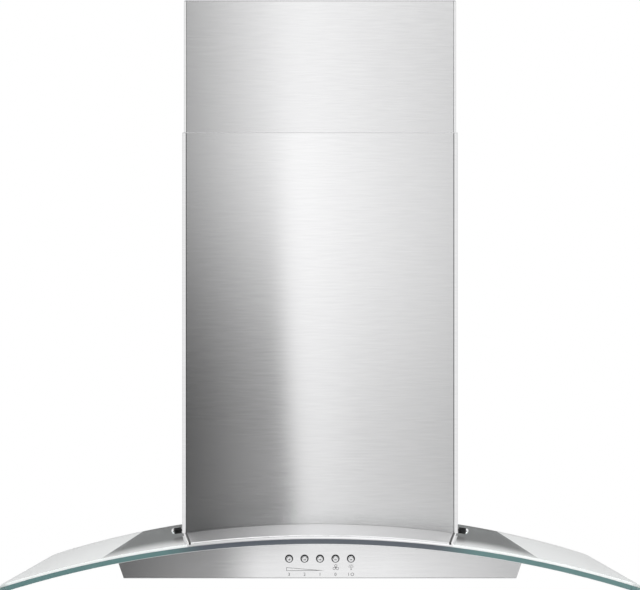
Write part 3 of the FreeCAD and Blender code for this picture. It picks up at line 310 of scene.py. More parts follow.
@dataclass(frozen=True)
class BrushedSteel(Finish):
    """Stainless sheet with a fine straight grain."""

    tint: float = 0.80
    rough: float = 0.15
    grain: Grain = Grain.ROUND
    stretch: float = 0.90
    turn: float = 0.25
    contrast: float = 0.08
    uneven: float = 0.025
    relief: float = 0.05
    depth: float = 0.00002

    def paint(self, graph: Graph) -> None:
        """Draws the grain in the sheet's colour, gloss and relief.

        Args:
            graph: the material's node tree.
        """
        graph.dress(Metallic=1.0, Anisotropic=self.stretch, Anisotropic_Rotation=self.turn)
        streaks = graph.noise(graph.place(self.grain.value), 1.0, 5.0)
        low = self.tint * (1.0 - self.contrast)
        high = self.tint * (1.0 + self.contrast)
        tone = graph.shades(streaks, (low, low, low * 1.01), (high, high, high * 1.005))
        gloss = graph.span(streaks, self.rough - self.uneven, self.rough + self.uneven)
        graph.feed(Base_Color=tone, Roughness=gloss)
        graph.bump(streaks, self.relief, self.depth)


@dataclass(frozen=True)
class ClearGlass(Finish):
    """Clear float glass that takes up a little more red than green and blue."""

    tint: Colour = (0.21, 0.52, 0.52)
    density: float = 6.5
    clear: Colour = (0.985, 0.995, 0.99)
    smear: float = 0.03

    def paint(self, graph: Graph) -> None:
        """Makes the glass clear, with faint smears and a tint in its depth.

        Args:
            graph: the material's node tree.
        """
        graph.dress(Base_Color=(*self.clear, 1.0), IOR=GLASS_IOR, Transmission_Weight=1.0)
        cloud = graph.noise(graph.place(), 9.0, 3.0)
        graph.feed(Roughness=graph.span(cloud, 0.0, self.smear, 0.45, 0.9))
        inside = graph.add("ShaderNodeVolumeAbsorption",
                           {"Color": (*self.tint, 1.0), "Density": self.density})
        graph.join(inside.outputs["Volume"], graph.output.inputs["Volume"])


@dataclass(frozen=True)
class PolishedEdgeLitAndShaded(Finish):
    """The flat of the glass's edge, with painted light and shade: blue green at the wings, where
    light comes in through the glass, and slate where the saddle's steel backs it and shades it.
    """

    # The wing colour is painted light come through the glass; the middle colour is painted shade
    # under the saddle.
    lit_wing: Colour = (0.168, 0.300, 0.298)
    middle: Colour = (0.125, 0.142, 0.168)
    inner: float = 0.13
    outer: float = 0.19
    rough: float = 0.12
    dull: Colour = (0.86, 0.88, 0.88)

    def paint(self, graph: Graph) -> None:
        """Runs the painted shade of the middle out to the painted light of the wings, with a soft
        cloud over it.

        Args:
            graph: the material's node tree.
        """
        graph.dress(Roughness=self.rough, IOR=GLASS_IOR)
        where = graph.place()
        across, _ = graph.axes(where)
        # Mask from the painted shade in the middle to the painted light at the wings.
        side = graph.span(graph.maths("ABSOLUTE", across), 0.0, 1.0, self.inner, self.outer, True)
        mixed = graph.add("ShaderNodeMix", data_type="RGBA", blend_type="MULTIPLY")
        mixed.inputs["Factor"].default_value = 1.0
        graph.join(graph.shades(side, self.middle, self.lit_wing), mixed.inputs[6])
        cloud = graph.noise(where, 22.0, 2.0)
        graph.join(graph.shades(cloud, self.dull, WHITE[:3]), mixed.inputs[7])
        graph.feed(Base_Color=mixed.outputs[2])


@dataclass(frozen=True)
class ArrisPaintedHighlight(Finish):
    """The ground and polished corner of a glass edge, painted almost white as a highlight."""

    # Both tones are near white: a painted highlight along the edge.
    dark: Colour = (0.86, 0.90, 0.89)
    light: Colour = (0.97, 0.98, 0.98)

    def paint(self, graph: Graph) -> None:
        """Makes the corner pale as a painted highlight, with a fine uneven grind.

        Args:
            graph: the material's node tree.
        """
        graph.dress(IOR=GLASS_IOR)
        cloud = graph.noise(graph.place(), 300.0, 3.0)
        graph.feed(Base_Color=graph.shades(cloud, self.dark, self.light),
                   Roughness=graph.span(cloud, 0.2, 0.4))


@dataclass(frozen=True)
class FrostedGlass(Finish):
    """A lamp's pressed lens, softly frosted."""

    tone: Colour = (0.94, 0.95, 0.93)
    refraction: float = 1.46
    clear: float = 0.75

    def paint(self, graph: Graph) -> None:
        """Makes the glass milky, with a fine haze.

        Args:
            graph: the material's node tree.
        """
        graph.dress(Base_Color=(*self.tone, 1.0), IOR=self.refraction,
                    Transmission_Weight=self.clear)
        haze = graph.noise(graph.place(), 900.0, 3.0)
        graph.feed(Roughness=graph.span(haze, 0.25, 0.5))
        graph.bump(haze, 0.2, 0.0001)


@dataclass(frozen=True)
class SheetMetal(Finish):
    """Zinc coated, painted or plated metal with a soft mottle."""

    tone: Colour
    rough: float = 0.4
    metal: float = 1.0
    mottle: float = 60.0
    depth: float = 0.00003
    uneven: float = 0.07
    relief: float = 0.12

    def paint(self, graph: Graph) -> None:
        """Mottles the metal's colour and gloss, over a fine relief.

        Args:
            graph: the material's node tree.
        """
        graph.dress(Metallic=self.metal)
        where = graph.place()
        cloud = graph.noise(where, self.mottle, 3.0)
        fine = graph.noise(where, self.mottle * 14.0, 2.0)
        tone = graph.shades(cloud, self.toned(self.tone, 0.88), self.toned(self.tone, 1.08))
        gloss = graph.span(cloud, self.rough - self.uneven, self.rough + self.uneven)
        graph.feed(Base_Color=tone, Roughness=gloss)
        graph.bump(fine, self.relief, self.depth)


@dataclass(frozen=True)
class Moulded(Finish):
    """Moulded plastic or rubber with a fine spark eroded texture."""

    tone: Colour
    rough: float = 0.5
    texture: float = 1400.0
    sheen: float = 0.5
    uneven: float = 0.08
    relief: float = 0.25
    depth: float = 0.00004

    def paint(self, graph: Graph) -> None:
        """Clouds the colour a little, over the texture of the mould.

        Args:
            graph: the material's node tree.
        """
        graph.dress(Specular_IOR_Level=self.sheen)
        where = graph.place()
        cloud = graph.noise(where, 40.0, 3.0)
        grain = graph.noise(where, self.texture, 2.0)
        tone = graph.shades(cloud, self.toned(self.tone, 0.85), self.toned(self.tone, 1.15))
        gloss = graph.span(grain, self.rough - self.uneven, self.rough + self.uneven)
        graph.feed(Base_Color=tone, Roughness=gloss)
        graph.bump(grain, self.relief, self.depth)


FINISHES: dict[str, Finish] = {
    "shell_steel": BrushedSteel("shell steel"),
    "underside_steel": BrushedSteel("underside steel", 0.76, 0.3, Grain.ACROSS, 0.2),
    "saddle_steel": BrushedSteel("saddle steel", 0.87, 0.26, Grain.ACROSS, 0.2),
    "lower_steel": BrushedSteel("lower cover steel", 0.80, 0.11),
    "upper_steel": BrushedSteel("upper cover steel"),
    "canopy_glass": ClearGlass("canopy glass"),
    "lens_glass": FrostedGlass("lens glass"),
    "gasket_rubber": Moulded("gasket rubber", (0.03, 0.03, 0.03), 0.7),
    "galvanised": SheetMetal("galvanised sheet", (0.58, 0.60, 0.61), 0.42, 1.0, 90.0),
    "scroll_metal": SheetMetal("scroll sheet", (0.50, 0.52, 0.53), 0.45, 1.0, 90.0),
    "black_plastic": Moulded("black plastic", (0.03, 0.03, 0.032), 0.5),
    "grey_plastic": Moulded("grey plastic", (0.20, 0.21, 0.22), 0.5),
    "impeller_plastic": Moulded("impeller plastic", (0.12, 0.12, 0.13), 0.45),
    "knob_black": Moulded("knob plastic", (0.009, 0.009, 0.010), 0.35, 500.0, 0.15),
    "bright_metal": SheetMetal("bright plate", (0.86, 0.86, 0.87), 0.12, 1.0, 40.0, 0.00001),
    "button_metal": SheetMetal("button plate", (0.80, 0.80, 0.81), 0.2, 1.0, 40.0, 0.00001),
    "fastener_metal": SheetMetal("fastener plate", (0.62, 0.62, 0.63), 0.25, 1.0, 120.0, 0.00002),
    "filter_aluminium": SheetMetal("filter aluminium", (0.78, 0.79, 0.80), 0.3, 1.0, 80.0, 0.00002),
    "mesh_aluminium": SheetMetal("mesh aluminium", (0.66, 0.67, 0.68), 0.35, 1.0, 160.0, 0.00005),
    "lamp_aluminium": SheetMetal("lamp aluminium", (0.82, 0.82, 0.82), 0.25, 1.0, 60.0, 0.00001),
    "motor_metal": SheetMetal("motor casting", (0.45, 0.46, 0.47), 0.5, 1.0, 140.0, 0.0001),
}
GLASS_BAND_LIT_AND_SHADED = PolishedEdgeLitAndShaded("glass band painted light and shade")
GLASS_ARRIS_HIGHLIGHT = ArrisPaintedHighlight("glass arris painted highlight")
SADDLE_LIP = SheetMetal("saddle lip", (0.86, 0.86, 0.87), 0.3, 1.0, 40.0, 0.00001)
# A near white, half metallic finish: a painted highlight on the bead.
ROLLED_BEAD_HIGHLIGHT = SheetMetal("rolled bead", (0.93, 0.93, 0.93), 0.25, 0.35, 40.0, 0.00001)
# A black strip beside the bead: painted shade.
SEAM_SHADE = Moulded("seam painted shade", (0.04, 0.04, 0.04), 0.6, 1400.0, 0.2)
PANEL_INK = Moulded("panel ink", (0.045, 0.045, 0.05), 0.5)


@dataclass
class Wardrobe:
    """Makes each finish once and puts it on the frame's nodes and on new pieces."""

    made: dict[Finish, Material] = field(default_factory=dict)

    def of(self, finish: Finish) -> Material:
        """Gives the material of a finish, made at its first use.

        Args:
            finish: the finish.

        Returns:
            The material.
        """
        if finish not in self.made:
            self.made[finish] = finish.material()
        return self.made[finish]

    def dress_nodes(self) -> None:
        """Gives every node of the frame the finish of its slot."""
        for part in frame["record"]["subparts"]:
            node = frame["nodes"][part["node"]]
            if not node.material_slots:
                node.data.materials.append(None)
            node.material_slots[0].link = "OBJECT"
            node.material_slots[0].material = self.of(FINISHES[part["material_slot"]])
            LOG.info("dressed %s in %s", part["node"], part["material_slot"])
        frame["nodes"]["saddle_plate"].visible_glossy = False

    def keep(self, bm: BMesh, name: str, body: str, slot: str, nodes: tuple[str, ...] = (),
             smooth: float | None = None, finishes: tuple[Finish, ...] = ()) -> Object:
        """Turns a bmesh into a finished piece that rides a body.

        Args:
            bm: the mesh, in the frame's own coordinates.
            name: the piece's name.
            body: the body that it rides.
            slot: the record's slot that it takes its finish from.
            nodes: the nodes that it stands for.
            smooth: the angle in degrees under which edges are smooth, if any.
            finishes: the piece's own finishes, in place of the slot's.

        Returns:
            The piece.
        """
        bmesh.ops.recalc_face_normals(bm, faces=bm.faces)
        mesh = bpy.data.meshes.new(name)
        bm.to_mesh(mesh)
        bm.free()
        for finish in finishes or (FINISHES[slot],):
            mesh.materials.append(self.of(finish))
        if smooth is not None:
            mesh.shade_smooth()
            mesh.set_sharp_from_angle(angle=math.radians(smooth))
        piece = bpy.data.objects.new(name, mesh)
        bpy.context.scene.collection.objects.link(piece)
        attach(piece, body)
        if nodes:
            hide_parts(*nodes)
        LOG.info("made %s on %s", name, body)
        return piece


@dataclass(frozen=True)
class Card:
    """A flat card of the stage."""

    name: str
    at: Point
    size: Spot
    turn: Point = UPRIGHT
    sight: Sight = Sight.MIRRORED

    def paint(self, graph: Graph) -> None:
        """Sets up the nodes of the card's material.

        Args:
            graph: the material's node tree.
        """
        raise NotImplementedError

    def show(self) -> None:
        """Makes the card and puts it on the stage."""
        graph = Graph(self.name.replace("_", " "))
        self.paint(graph)
        bm = bmesh.new()
        bmesh.ops.create_grid(bm, x_segments=1, y_segments=1, size=0.5)
        bmesh.ops.scale(bm, vec=(*self.size, 1.0), verts=bm.verts)
        mesh = bpy.data.meshes.new(self.name)
        bm.to_mesh(mesh)
        bm.free()
        mesh.materials.append(graph.material)
        card = bpy.data.objects.new(self.name, mesh)
        card.location = self.at
        card.rotation_euler = tuple(math.radians(angle) for angle in self.turn)
        card.visible_camera = self.sight is Sight.ALL
        card.visible_shadow = False
        bpy.context.scene.collection.objects.link(card)
        if self.sight is Sight.MIRRORED:
            card.visible_diffuse = False
            card.visible_transmission = False


@dataclass(frozen=True)
class LightCard(Card):
    """A card that shines, at a level that ramps across it and up it give."""

    def level(self, graph: Graph, across: NodeSocket, up: NodeSocket) -> NodeSocket:
        """Works out how brightly each spot of the card shines.

        Args:
            graph: the material's node tree.
            across: the sideways coordinate.
            up: the upward coordinate.

        Returns:
            The level's socket.
        """
        raise NotImplementedError

    def paint(self, graph: Graph) -> None:
        """Makes the card shine.

        Args:
            graph: the material's node tree.
        """
        shine = graph.add("ShaderNodeEmission")
        level = self.level(graph, *graph.axes(graph.place()))
        graph.join(level, shine.inputs["Strength"])
        graph.join(shine.outputs["Emission"], graph.output.inputs["Surface"])


@dataclass(frozen=True)
class StudioWall(LightCard):
    """The wall behind the camera: bright in the middle, dim low down, at the top and aside."""

    name: str = "studio_wall"
    at: Point = (0.0, -3.3, 0.3)
    size: Spot = (4.6, 3.4)
    sight: Sight = Sight.UNSEEN
    left: Ramp = (0.46, 1.20, -0.40, -0.09)
    right: Ramp = (1.0, 0.90, -0.04, 0.08)
    right_end: Ramp = (1.0, 0.72, 0.08, 0.42)
    far_left: Ramp = (0.12, 1.0, -0.60, -0.46)
    far_right: Ramp = (1.0, 0.12, 0.52, 0.64)
    beyond: Ramp = (0.0, 0.85, 1.2, 1.6)
    foot: Ramp = (0.78, 1.0, -0.6, 0.2)
    crown: Ramp = (1.0, 0.88, 0.48, 0.84)
    lean: Ramp = (0.0, 0.04, -0.6, 0.1)
    west: Ramp = (1.0, 0.0, -0.105, -0.035)
    west_low: Ramp = (1.0, 0.0, -0.4, 0.6)
    west_foot: Ramp = (0.84, 1.0, -0.48, -0.34)
    west_share: Ramp = (0.78, 0.66, -0.36, -0.22)
    west_end: Ramp = (0.42, 0.0, -0.61, -0.53)
    east: Ramp = (0.0, 1.0, 0.03, 0.12)
    east_low: Ramp = (0.11, 0.0, -0.42, 0.0)
    east_foot: Ramp = (-3.0, 1.0, -0.64, -0.52)

    def shade(self, graph: Graph, across: NodeSocket, up: NodeSocket) -> NodeSocket:
        """Works out the share that the dim patches low on the left and right leave.

        Args:
            graph: the material's node tree.
            across: the sideways coordinate.
            up: the upward coordinate.

        Returns:
            The share's socket.
        """
        lean = graph.maths("ADD", across, graph.span(up, *self.lean))
        west = graph.span(lean, *self.west, smooth=True)
        patch = graph.times(west, graph.span(up, *self.west_low, smooth=True),
                            graph.span(up, *self.west_foot), graph.span(across, *self.west_share))
        end = graph.times(west, graph.span(up, *self.west_end))
        east = graph.times(graph.span(across, *self.east), graph.span(up, *self.east_low),
                           graph.span(up, *self.east_foot))
        return graph.times(graph.remains(patch), graph.remains(end), graph.remains(east))

    def level(self, graph: Graph, across: NodeSocket, up: NodeSocket) -> NodeSocket:
        """Works out how brightly each spot of the wall shines.

        Args:
            graph: the material's node tree.
            across: the sideways coordinate.
            up: the upward coordinate.

        Returns:
            The level's socket.
        """
        middle = graph.times(graph.span(across, *self.left), graph.span(across, *self.right),
                             graph.span(across, *self.right_end))
        sides = graph.times(graph.span(across, *self.far_left, smooth=True),
                            graph.span(across, *self.far_right, smooth=True))
        fade = graph.times(graph.span(up, *self.foot), graph.span(up, *self.crown))
        total = graph.times(middle, sides, fade, self.shade(graph, across, up))
        beyond = graph.span(graph.maths("ABSOLUTE", across), *self.beyond, smooth=True)
        return graph.maths("MAXIMUM", total, beyond)


@dataclass(frozen=True)
class RearCard(LightCard):
    """The card behind the hood, dark in the middle, which the glass and the saddle mirror."""

    name: str = "rear_card"
    at: Point = (0.0, 0.6, 0.25)
    size: Spot = (4.4, 1.6)
    flare: Ramp = (-0.0113, 0.953, -0.45, -0.30)
    slope: Ramp = (0.0, 0.26, 0.0, 1.0)
    edge: Ramp = (1.0, 0.0, -0.2915, -0.2755)
    pale: Ramp = (0.74, 0.86, -0.325, -0.280)
    dark: Ramp = (1.0, 0.225, 0.0, 1.0)

    def level(self, graph: Graph, across: NodeSocket, up: NodeSocket) -> NodeSocket:
        """Works out how brightly each spot of the card shines.

        Args:
            graph: the material's node tree.
            across: the sideways coordinate.
            up: the upward coordinate.

        Returns:
            The level's socket.
        """
        reach = graph.maths("ABSOLUTE", across)
        rise = graph.maths("ADD", up, graph.span(reach, *self.slope))
        shade = graph.times(graph.maths("LESS_THAN", reach, graph.span(up, *self.flare)),
                            graph.span(rise, *self.edge, smooth=True))
        return graph.times(graph.span(rise, *self.pale), graph.span(shade, *self.dark))


@dataclass(frozen=True)
class FrontCard(LightCard):
    """The card close in front of the panel, which the panel mirrors."""

    name: str = "front_card"
    at: Point = (0.0, -0.75, -0.33)
    size: Spot = (0.9, 0.31)
    left: Ramp = (0.18, 0.40, -0.27, -0.15)
    step: Ramp = (1.0, 2.6, -0.15, -0.075)
    right: Ramp = (1.0, 0.64, 0.09, 0.26)

    def level(self, graph: Graph, across: NodeSocket, up: NodeSocket) -> NodeSocket:
        """Works out how brightly each spot of the card shines.

        Args:
            graph: the material's node tree.
            across: the sideways coordinate.
            up: the upward coordinate, along which nothing changes.

        Returns:
            The level's socket.
        """
        return graph.times(graph.span(across, *self.left),
                           graph.span(across, *self.step, smooth=True),
                           graph.span(across, *self.right))


@dataclass(frozen=True)
class TopCard(LightCard):
    """The card overhead, dark at the left, which the rounded edges mirror."""

    name: str = "top_card"
    at: Point = (0.0, -1.4, 1.35)
    size: Spot = (2.0, 3.6)
    turn: Point = LEVEL
    left: Ramp = (0.42, 1.25, -0.60, -0.05)

    def level(self, graph: Graph, across: NodeSocket, up: NodeSocket) -> NodeSocket:
        """Gives how brightly each spot of the card shines."""
        return graph.span(across, *self.left)


@dataclass(frozen=True)
class Floor(Card):
    """The plain pale floor, which is clear when seen from below."""

    name: str = "floor"
    at: Point = (0.0, 0.0, -1.10)
    size: Spot = (14.0, 14.0)
    turn: Point = LEVEL
    sight: Sight = Sight.ALL
    tone: Colour = (0.93, 0.93, 0.93)
    rough: float = 0.7
    glow: float = 0.42

    def paint(self, graph: Graph) -> None:
        """Makes the floor pale, white to the camera and clear from below.

        Args:
            graph: the material's node tree.
        """
        graph.dress(Base_Color=(*self.tone, 1.0), Roughness=self.rough, Emission_Color=WHITE)
        path = graph.add("ShaderNodeLightPath")
        graph.feed(Emission_Strength=graph.span(path.outputs["Is Camera Ray"], 0.0, self.glow))
        mixed = graph.add("ShaderNodeMixShader")
        below = graph.add("ShaderNodeNewGeometry")
        clear = graph.add("ShaderNodeBsdfTransparent")
        graph.join(below.outputs["Backfacing"], mixed.inputs["Fac"])
        graph.join(graph.shader.outputs["BSDF"], mixed.inputs[1])
        graph.join(clear.outputs["BSDF"], mixed.inputs[2])
        graph.join(mixed.outputs["Shader"], graph.output.inputs["Surface"])


@dataclass(frozen=True)
class Lamp:
    """A soft square lamp that mirrored rays don't see."""

    name: str
    at: Point
    aim: Point
    size: float
    power: float

    def show(self) -> None:
        """Makes the lamp and aims it."""
        data = bpy.data.lights.new(self.name, "AREA")
        data.size = self.size
        data.energy = self.power
        lamp = bpy.data.objects.new(self.name, data)
        lamp.location = self.at
        way = Vector(self.aim) - Vector(self.at)
        lamp.rotation_euler = way.to_track_quat("-Z", "Y").to_euler()
        lamp.visible_glossy = False
        bpy.context.scene.collection.objects.link(lamp)


@dataclass
class Studio:
    """Camera, white surroundings, floor, cards that the steel mirrors and soft lamps."""

    eye: Point = (0.0, -2.788, 0.0153)
    lens: float = 110.7
    sensor: float = 36.0
    rise: float = 0.1684
    far: float = 100.0
    ambient: float = 0.6
    cards: tuple[Card, ...] = (StudioWall(), RearCard(), FrontCard(), TopCard(), Floor())
    lamps: tuple[Lamp, ...] = (
        Lamp("key", (1.6, -2.2, 1.7), (0.0, -0.2, 0.0), 1.2, 22.0),
        Lamp("fill", (-1.8, -1.6, 0.8), (0.0, -0.2, 0.0), 1.2, 5.0),
        Lamp("top", (0.0, -0.6, 2.4), (0.0, -0.3, 0.0), 1.6, 22.0),
    )

    def camera(self) -> None:
        """Puts the camera level, in front of the hood."""
        data = bpy.data.cameras.new("camera")
        data.lens = self.lens
        data.sensor_width = self.sensor
        data.shift_y = self.rise
        data.clip_end = self.far
        camera = bpy.data.objects.new("camera", data)
        camera.location = self.eye
        camera.rotation_euler = tuple(math.radians(angle) for angle in UPRIGHT)
        bpy.context.scene.collection.objects.link(camera)
        bpy.context.scene.camera = camera

    def world(self) -> None:
        """Makes the surroundings white to the eye, and softer as a lamp."""
        world = bpy.data.worlds.new("studio")
        world.use_nodes = True
        tree = world.node_tree
        back = tree.nodes["Background"]
        back.inputs["Color"].default_value = WHITE
        path = tree.nodes.new("ShaderNodeLightPath")
        total: NodeSocket = path.outputs["Is Camera Ray"]
        for name in ("Is Glossy Ray", "Is Transmission Ray"):
            either = tree.nodes.new("ShaderNodeMath")
            either.operation = "MAXIMUM"
            tree.links.new(total, either.inputs[0])
            tree.links.new(path.outputs[name], either.inputs[1])
            total = either.outputs["Value"]
        level = tree.nodes.new("ShaderNodeMapRange")
        level.inputs["To Min"].default_value = self.ambient
        level.inputs["To Max"].default_value = 1.0
        tree.links.new(total, level.inputs["Value"])
        tree.links.new(level.outputs["Result"], back.inputs["Strength"])
        bpy.context.scene.world = world
        bpy.context.scene.view_settings.view_transform = "Standard"

    def build(self) -> None:
        """Sets up the whole studio."""
        self.camera()
        self.world()
        for item in (*self.cards, *self.lamps):
            item.show()


@dataclass
class GlassEdge:
    """The polished edge round the glass, with the steel lip of the saddle over its front."""

    thick: float = 0.009
    half: float = 0.375
    front: float = -0.500
    back: float = -0.023
    corner: float = 0.014
    back_corner: float = 0.022
    inner: float = 0.181
    upper: float = 0.0030
    lower: float = 0.0003
    proud: float = 0.00004
    lip: float = 0.1533
    skin: float = 0.00003
    flat: float = 0.1
    steps: int = 150
    corner_steps: int = 8
    side_steps: int = 12
    rear_steps: int = 34
    turns: int = 5

    def profile(self) -> list[Spot]:
        """Lists the edge's profile, from its underside up.

        Returns:
            Points as reach past the glass and height.
        """
        angles = [math.pi / 2 * turn / self.turns for turn in range(self.turns + 1)]
        lower = self.lower + self.proud
        upper = self.upper + self.proud
        points = [(lower * math.sin(angle) - self.lower,
                   self.lower - self.thick - lower * math.cos(angle)) for angle in angles]
        points += [(upper * math.cos(angle) - self.upper,
                    upper * math.sin(angle) - self.upper) for angle in angles]
        return points

    def sweep(self) -> BMesh:
        """Sweeps the profile flat, from the chimney's left round the glass to its right.

        Returns:
            The open band, with its heights measured from the glass's top.
        """
        bm = bmesh.new()
        points = [bm.verts.new((-self.inner, self.back + reach, height))
                  for reach, height in self.profile()]
        geom: list[Any] = points + [bm.edges.new(pair) for pair in zip(points, points[1:])]
        near = (self.half - self.corner, self.front + self.corner, 0.0)
        far = (self.half - self.back_corner, self.back - self.back_corner, 0.0)
        rear = ((self.inner - far[0]) / self.rear_steps, 0.0, 0.0)
        side = (far[1] - near[1]) / self.side_steps
        ahead = (2 * near[0] / self.steps, 0.0, 0.0)
        quarter = math.pi / 2
        for cent, angle, move, steps in (
                (STILL, 0.0, rear, self.rear_steps),
                ((-far[0], far[1], 0.0), quarter, STILL, self.corner_steps),
                (STILL, 0.0, (0.0, -side, 0.0), self.side_steps),
                ((-near[0], near[1], 0.0), quarter, STILL, self.corner_steps),
                (STILL, 0.0, ahead, self.steps),
                (near, quarter, STILL, self.corner_steps),
                (STILL, 0.0, (0.0, side, 0.0), self.side_steps),
                (far, quarter, STILL, self.corner_steps),
                (STILL, 0.0, rear, self.rear_steps)):
            made = bmesh.ops.spin(bm, geom=geom, cent=cent, axis=(0.0, 0.0, 1.0), angle=angle,
                                  dvec=move, steps=steps)
            geom = made["geom_last"]
        return bm

    def build(self, wardrobe: Wardrobe) -> None:
        """Sweeps the edge, picks its finishes and lays it on the arch.

        Args:
            wardrobe: where the finishes come from.
        """
        bm = self.sweep()
        for face in bm.faces:
            middle = face.calc_center_median()
            flat = abs(face.normal.z) < self.flat
            steel = abs(middle.x) < self.lip and middle.z > -self.upper
            face.material_index = 0 if flat else 2 if steel else 1
        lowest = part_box("glass_canopy")[0][2]
        for vert in bm.verts:
            vert.co.z = max(lowest, ARCH.height(vert.co.x, vert.co.z))
        # The band carries painted light and shade, and the arris a painted highlight.
        piece = wardrobe.keep(bm, "glass_edge", "hood", "canopy_glass", smooth=35.0,
                              finishes=(GLASS_BAND_LIT_AND_SHADED, GLASS_ARRIS_HIGHLIGHT, SADDLE_LIP))
        skin = piece.modifiers.new("thickness", "SOLIDIFY")
        skin.thickness = self.skin
        skin.offset = -1.0


class Solid:
    """Ways to make and place small turned and flat solids."""

    @staticmethod
    def turned(profile: Iterable[Spot], steps: int) -> BMesh:
        """Turns a profile about the Z axis.

        Args:
            profile: points as radius and height, from the axis round to the axis.
            steps: the number of steps in the turn.

        Returns:
            The closed mesh.
        """
        bm = bmesh.new()
        points = [bm.verts.new((radius, 0.0, height)) for radius, height in profile]
        edges = [bm.edges.new(pair) for pair in zip(points, points[1:])]
        bmesh.ops.spin(bm, geom=points + edges, axis=(0.0, 0.0, 1.0), angle=2 * math.pi,
                       steps=steps, use_merge=True)
        bmesh.ops.remove_doubles(bm, verts=bm.verts, dist=SAME / 10)
        return bm

    @staticmethod
    def pour(bm: BMesh, part: BMesh, place: Matrix) -> None:
        """Moves a part to its place and pours it into a mesh.

        Args:
            bm: the mesh that takes it.
            part: the part, which is used up.
            place: where the part goes.
        """
        bmesh.ops.transform(part, matrix=place, verts=part.verts)
        carrier = bpy.data.meshes.new("carrier")
        part.to_mesh(carrier)
        part.free()
        bm.from_mesh(carrier)
        bpy.data.meshes.remove(carrier)

    @staticmethod
    def raise_faces(bm: BMesh, height: float) -> None:
        """Gives flat faces a thickness, upwards.

        Args:
            bm: the mesh, flat in the XY plane.
            height: the thickness.
        """
        made = bmesh.ops.extrude_face_region(bm, geom=bm.faces[:], use_keep_orig=True)
        tops = [item for item in made["geom"] if isinstance(item, bmesh.types.BMVert)]
        bmesh.ops.translate(bm, vec=(0.0, 0.0, height), verts=tops)

    @staticmethod
    def ease(bm: BMesh, edges: list[Any], width: float) -> None:
        """Rounds edges over.

        Args:
            bm: the mesh.
            edges: the edges.
            width: the rounding's width.
        """
        bmesh.ops.bevel(bm, geom=edges, offset=width, segments=2, profile=0.5, affect="EDGES",
                        material=-1)

    @staticmethod
    def split(bm: BMesh, first: int) -> None:
        """Gives the faces after the first ones the second finish.

        Args:
            bm: the mesh.
            first: the number of faces that keep the first finish.
        """
        bm.faces.index_update()
        for face in bm.faces:
            face.material_index = 0 if face.index < first else 1

    @staticmethod
    def facing(at: Point, out: Point) -> Matrix:
        """Gives the place of a part whose Z axis points a given way."""
        turn = Vector(out).to_track_quat("Z", "Y").to_matrix().to_4x4()
        return Matrix.Translation(at) @ turn


@dataclass
class PushButtons:
    """Five round push buttons: a black body with a pale domed face set low on it, so that the black
    body shows above the face as a crescent of painted shade.
    """

    names: tuple[str, ...] = ("high", "medium", "low", "off", "light")
    pitch: float = 0.0186
    face: float = -0.4205
    rise: float = -0.172
    radius: float = 0.0046
    rim: float = 0.0003
    length: float = 0.009
    stem: float = 0.0025
    stem_length: float = 0.009
    cap: float = 0.0039
    # How far the face sits below the body's middle, which leaves a crescent of painted shade above
    # it.
    shade_crescent_drop: float = 0.0007
    cap_height: float = 0.0007
    cap_flat: float = 0.72
    cap_turns: tuple[float, ...] = (15.0, 35.0, 55.0, 72.0)
    pip: float = 0.0009
    pip_foot: float = 0.7
    pip_depth: float = 0.8
    steps: int = 40

    def body(self) -> BMesh:
        """Turns the black body and its stem.

        Returns:
            The body, with its front at the origin.
        """
        end = -self.length - self.stem_length
        return Solid.turned([(0.0, 0.0), (self.radius - self.rim, 0.0), (self.radius, -self.rim),
                             (self.radius, -self.length), (self.stem, -self.length),
                             (self.stem, end), (0.0, end)], self.steps)

    def dome(self) -> BMesh:
        """Turns the pale face with the small pip in its middle.

        Returns:
            The face, with its back at the origin.
        """
        points = [(0.0, 0.0), (self.cap, 0.0)]
        for turn in (math.radians(angle) for angle in self.cap_turns):
            reach = self.cap_flat + (1.0 - self.cap_flat) * math.cos(turn)
            points.append((self.cap * reach, self.cap_height * math.sin(turn)))
        floor = self.cap_height * self.pip_depth
        points += [(self.pip, self.cap_height), (self.pip * self.pip_foot, floor), (0.0, floor)]
        return Solid.turned(points, self.steps)

    def build(self, wardrobe: Wardrobe) -> None:
        """Makes the buttons, each on its own body.

        Args:
            wardrobe: where the finishes come from.
        """
        middle = len(self.names) // 2
        for number, name in enumerate(self.names):
            across = (number - middle) * self.pitch
            # The face sits low, so the black body shows above it as painted shade.
            low = (across, self.face, self.rise - self.shade_crescent_drop)
            bm = bmesh.new()
            Solid.pour(bm, self.dome(), Solid.facing(low, FORWARD))
            pale = len(bm.faces)
            Solid.pour(bm, self.body(), Solid.facing((across, self.face, self.rise), FORWARD))
            Solid.split(bm, pale)
            wardrobe.keep(bm, f"push_button_{name}", f"push_{name}", "button_metal",
                          (f"button_{name}",), 40.0,
                          (FINISHES["button_metal"], FINISHES["black_plastic"]))


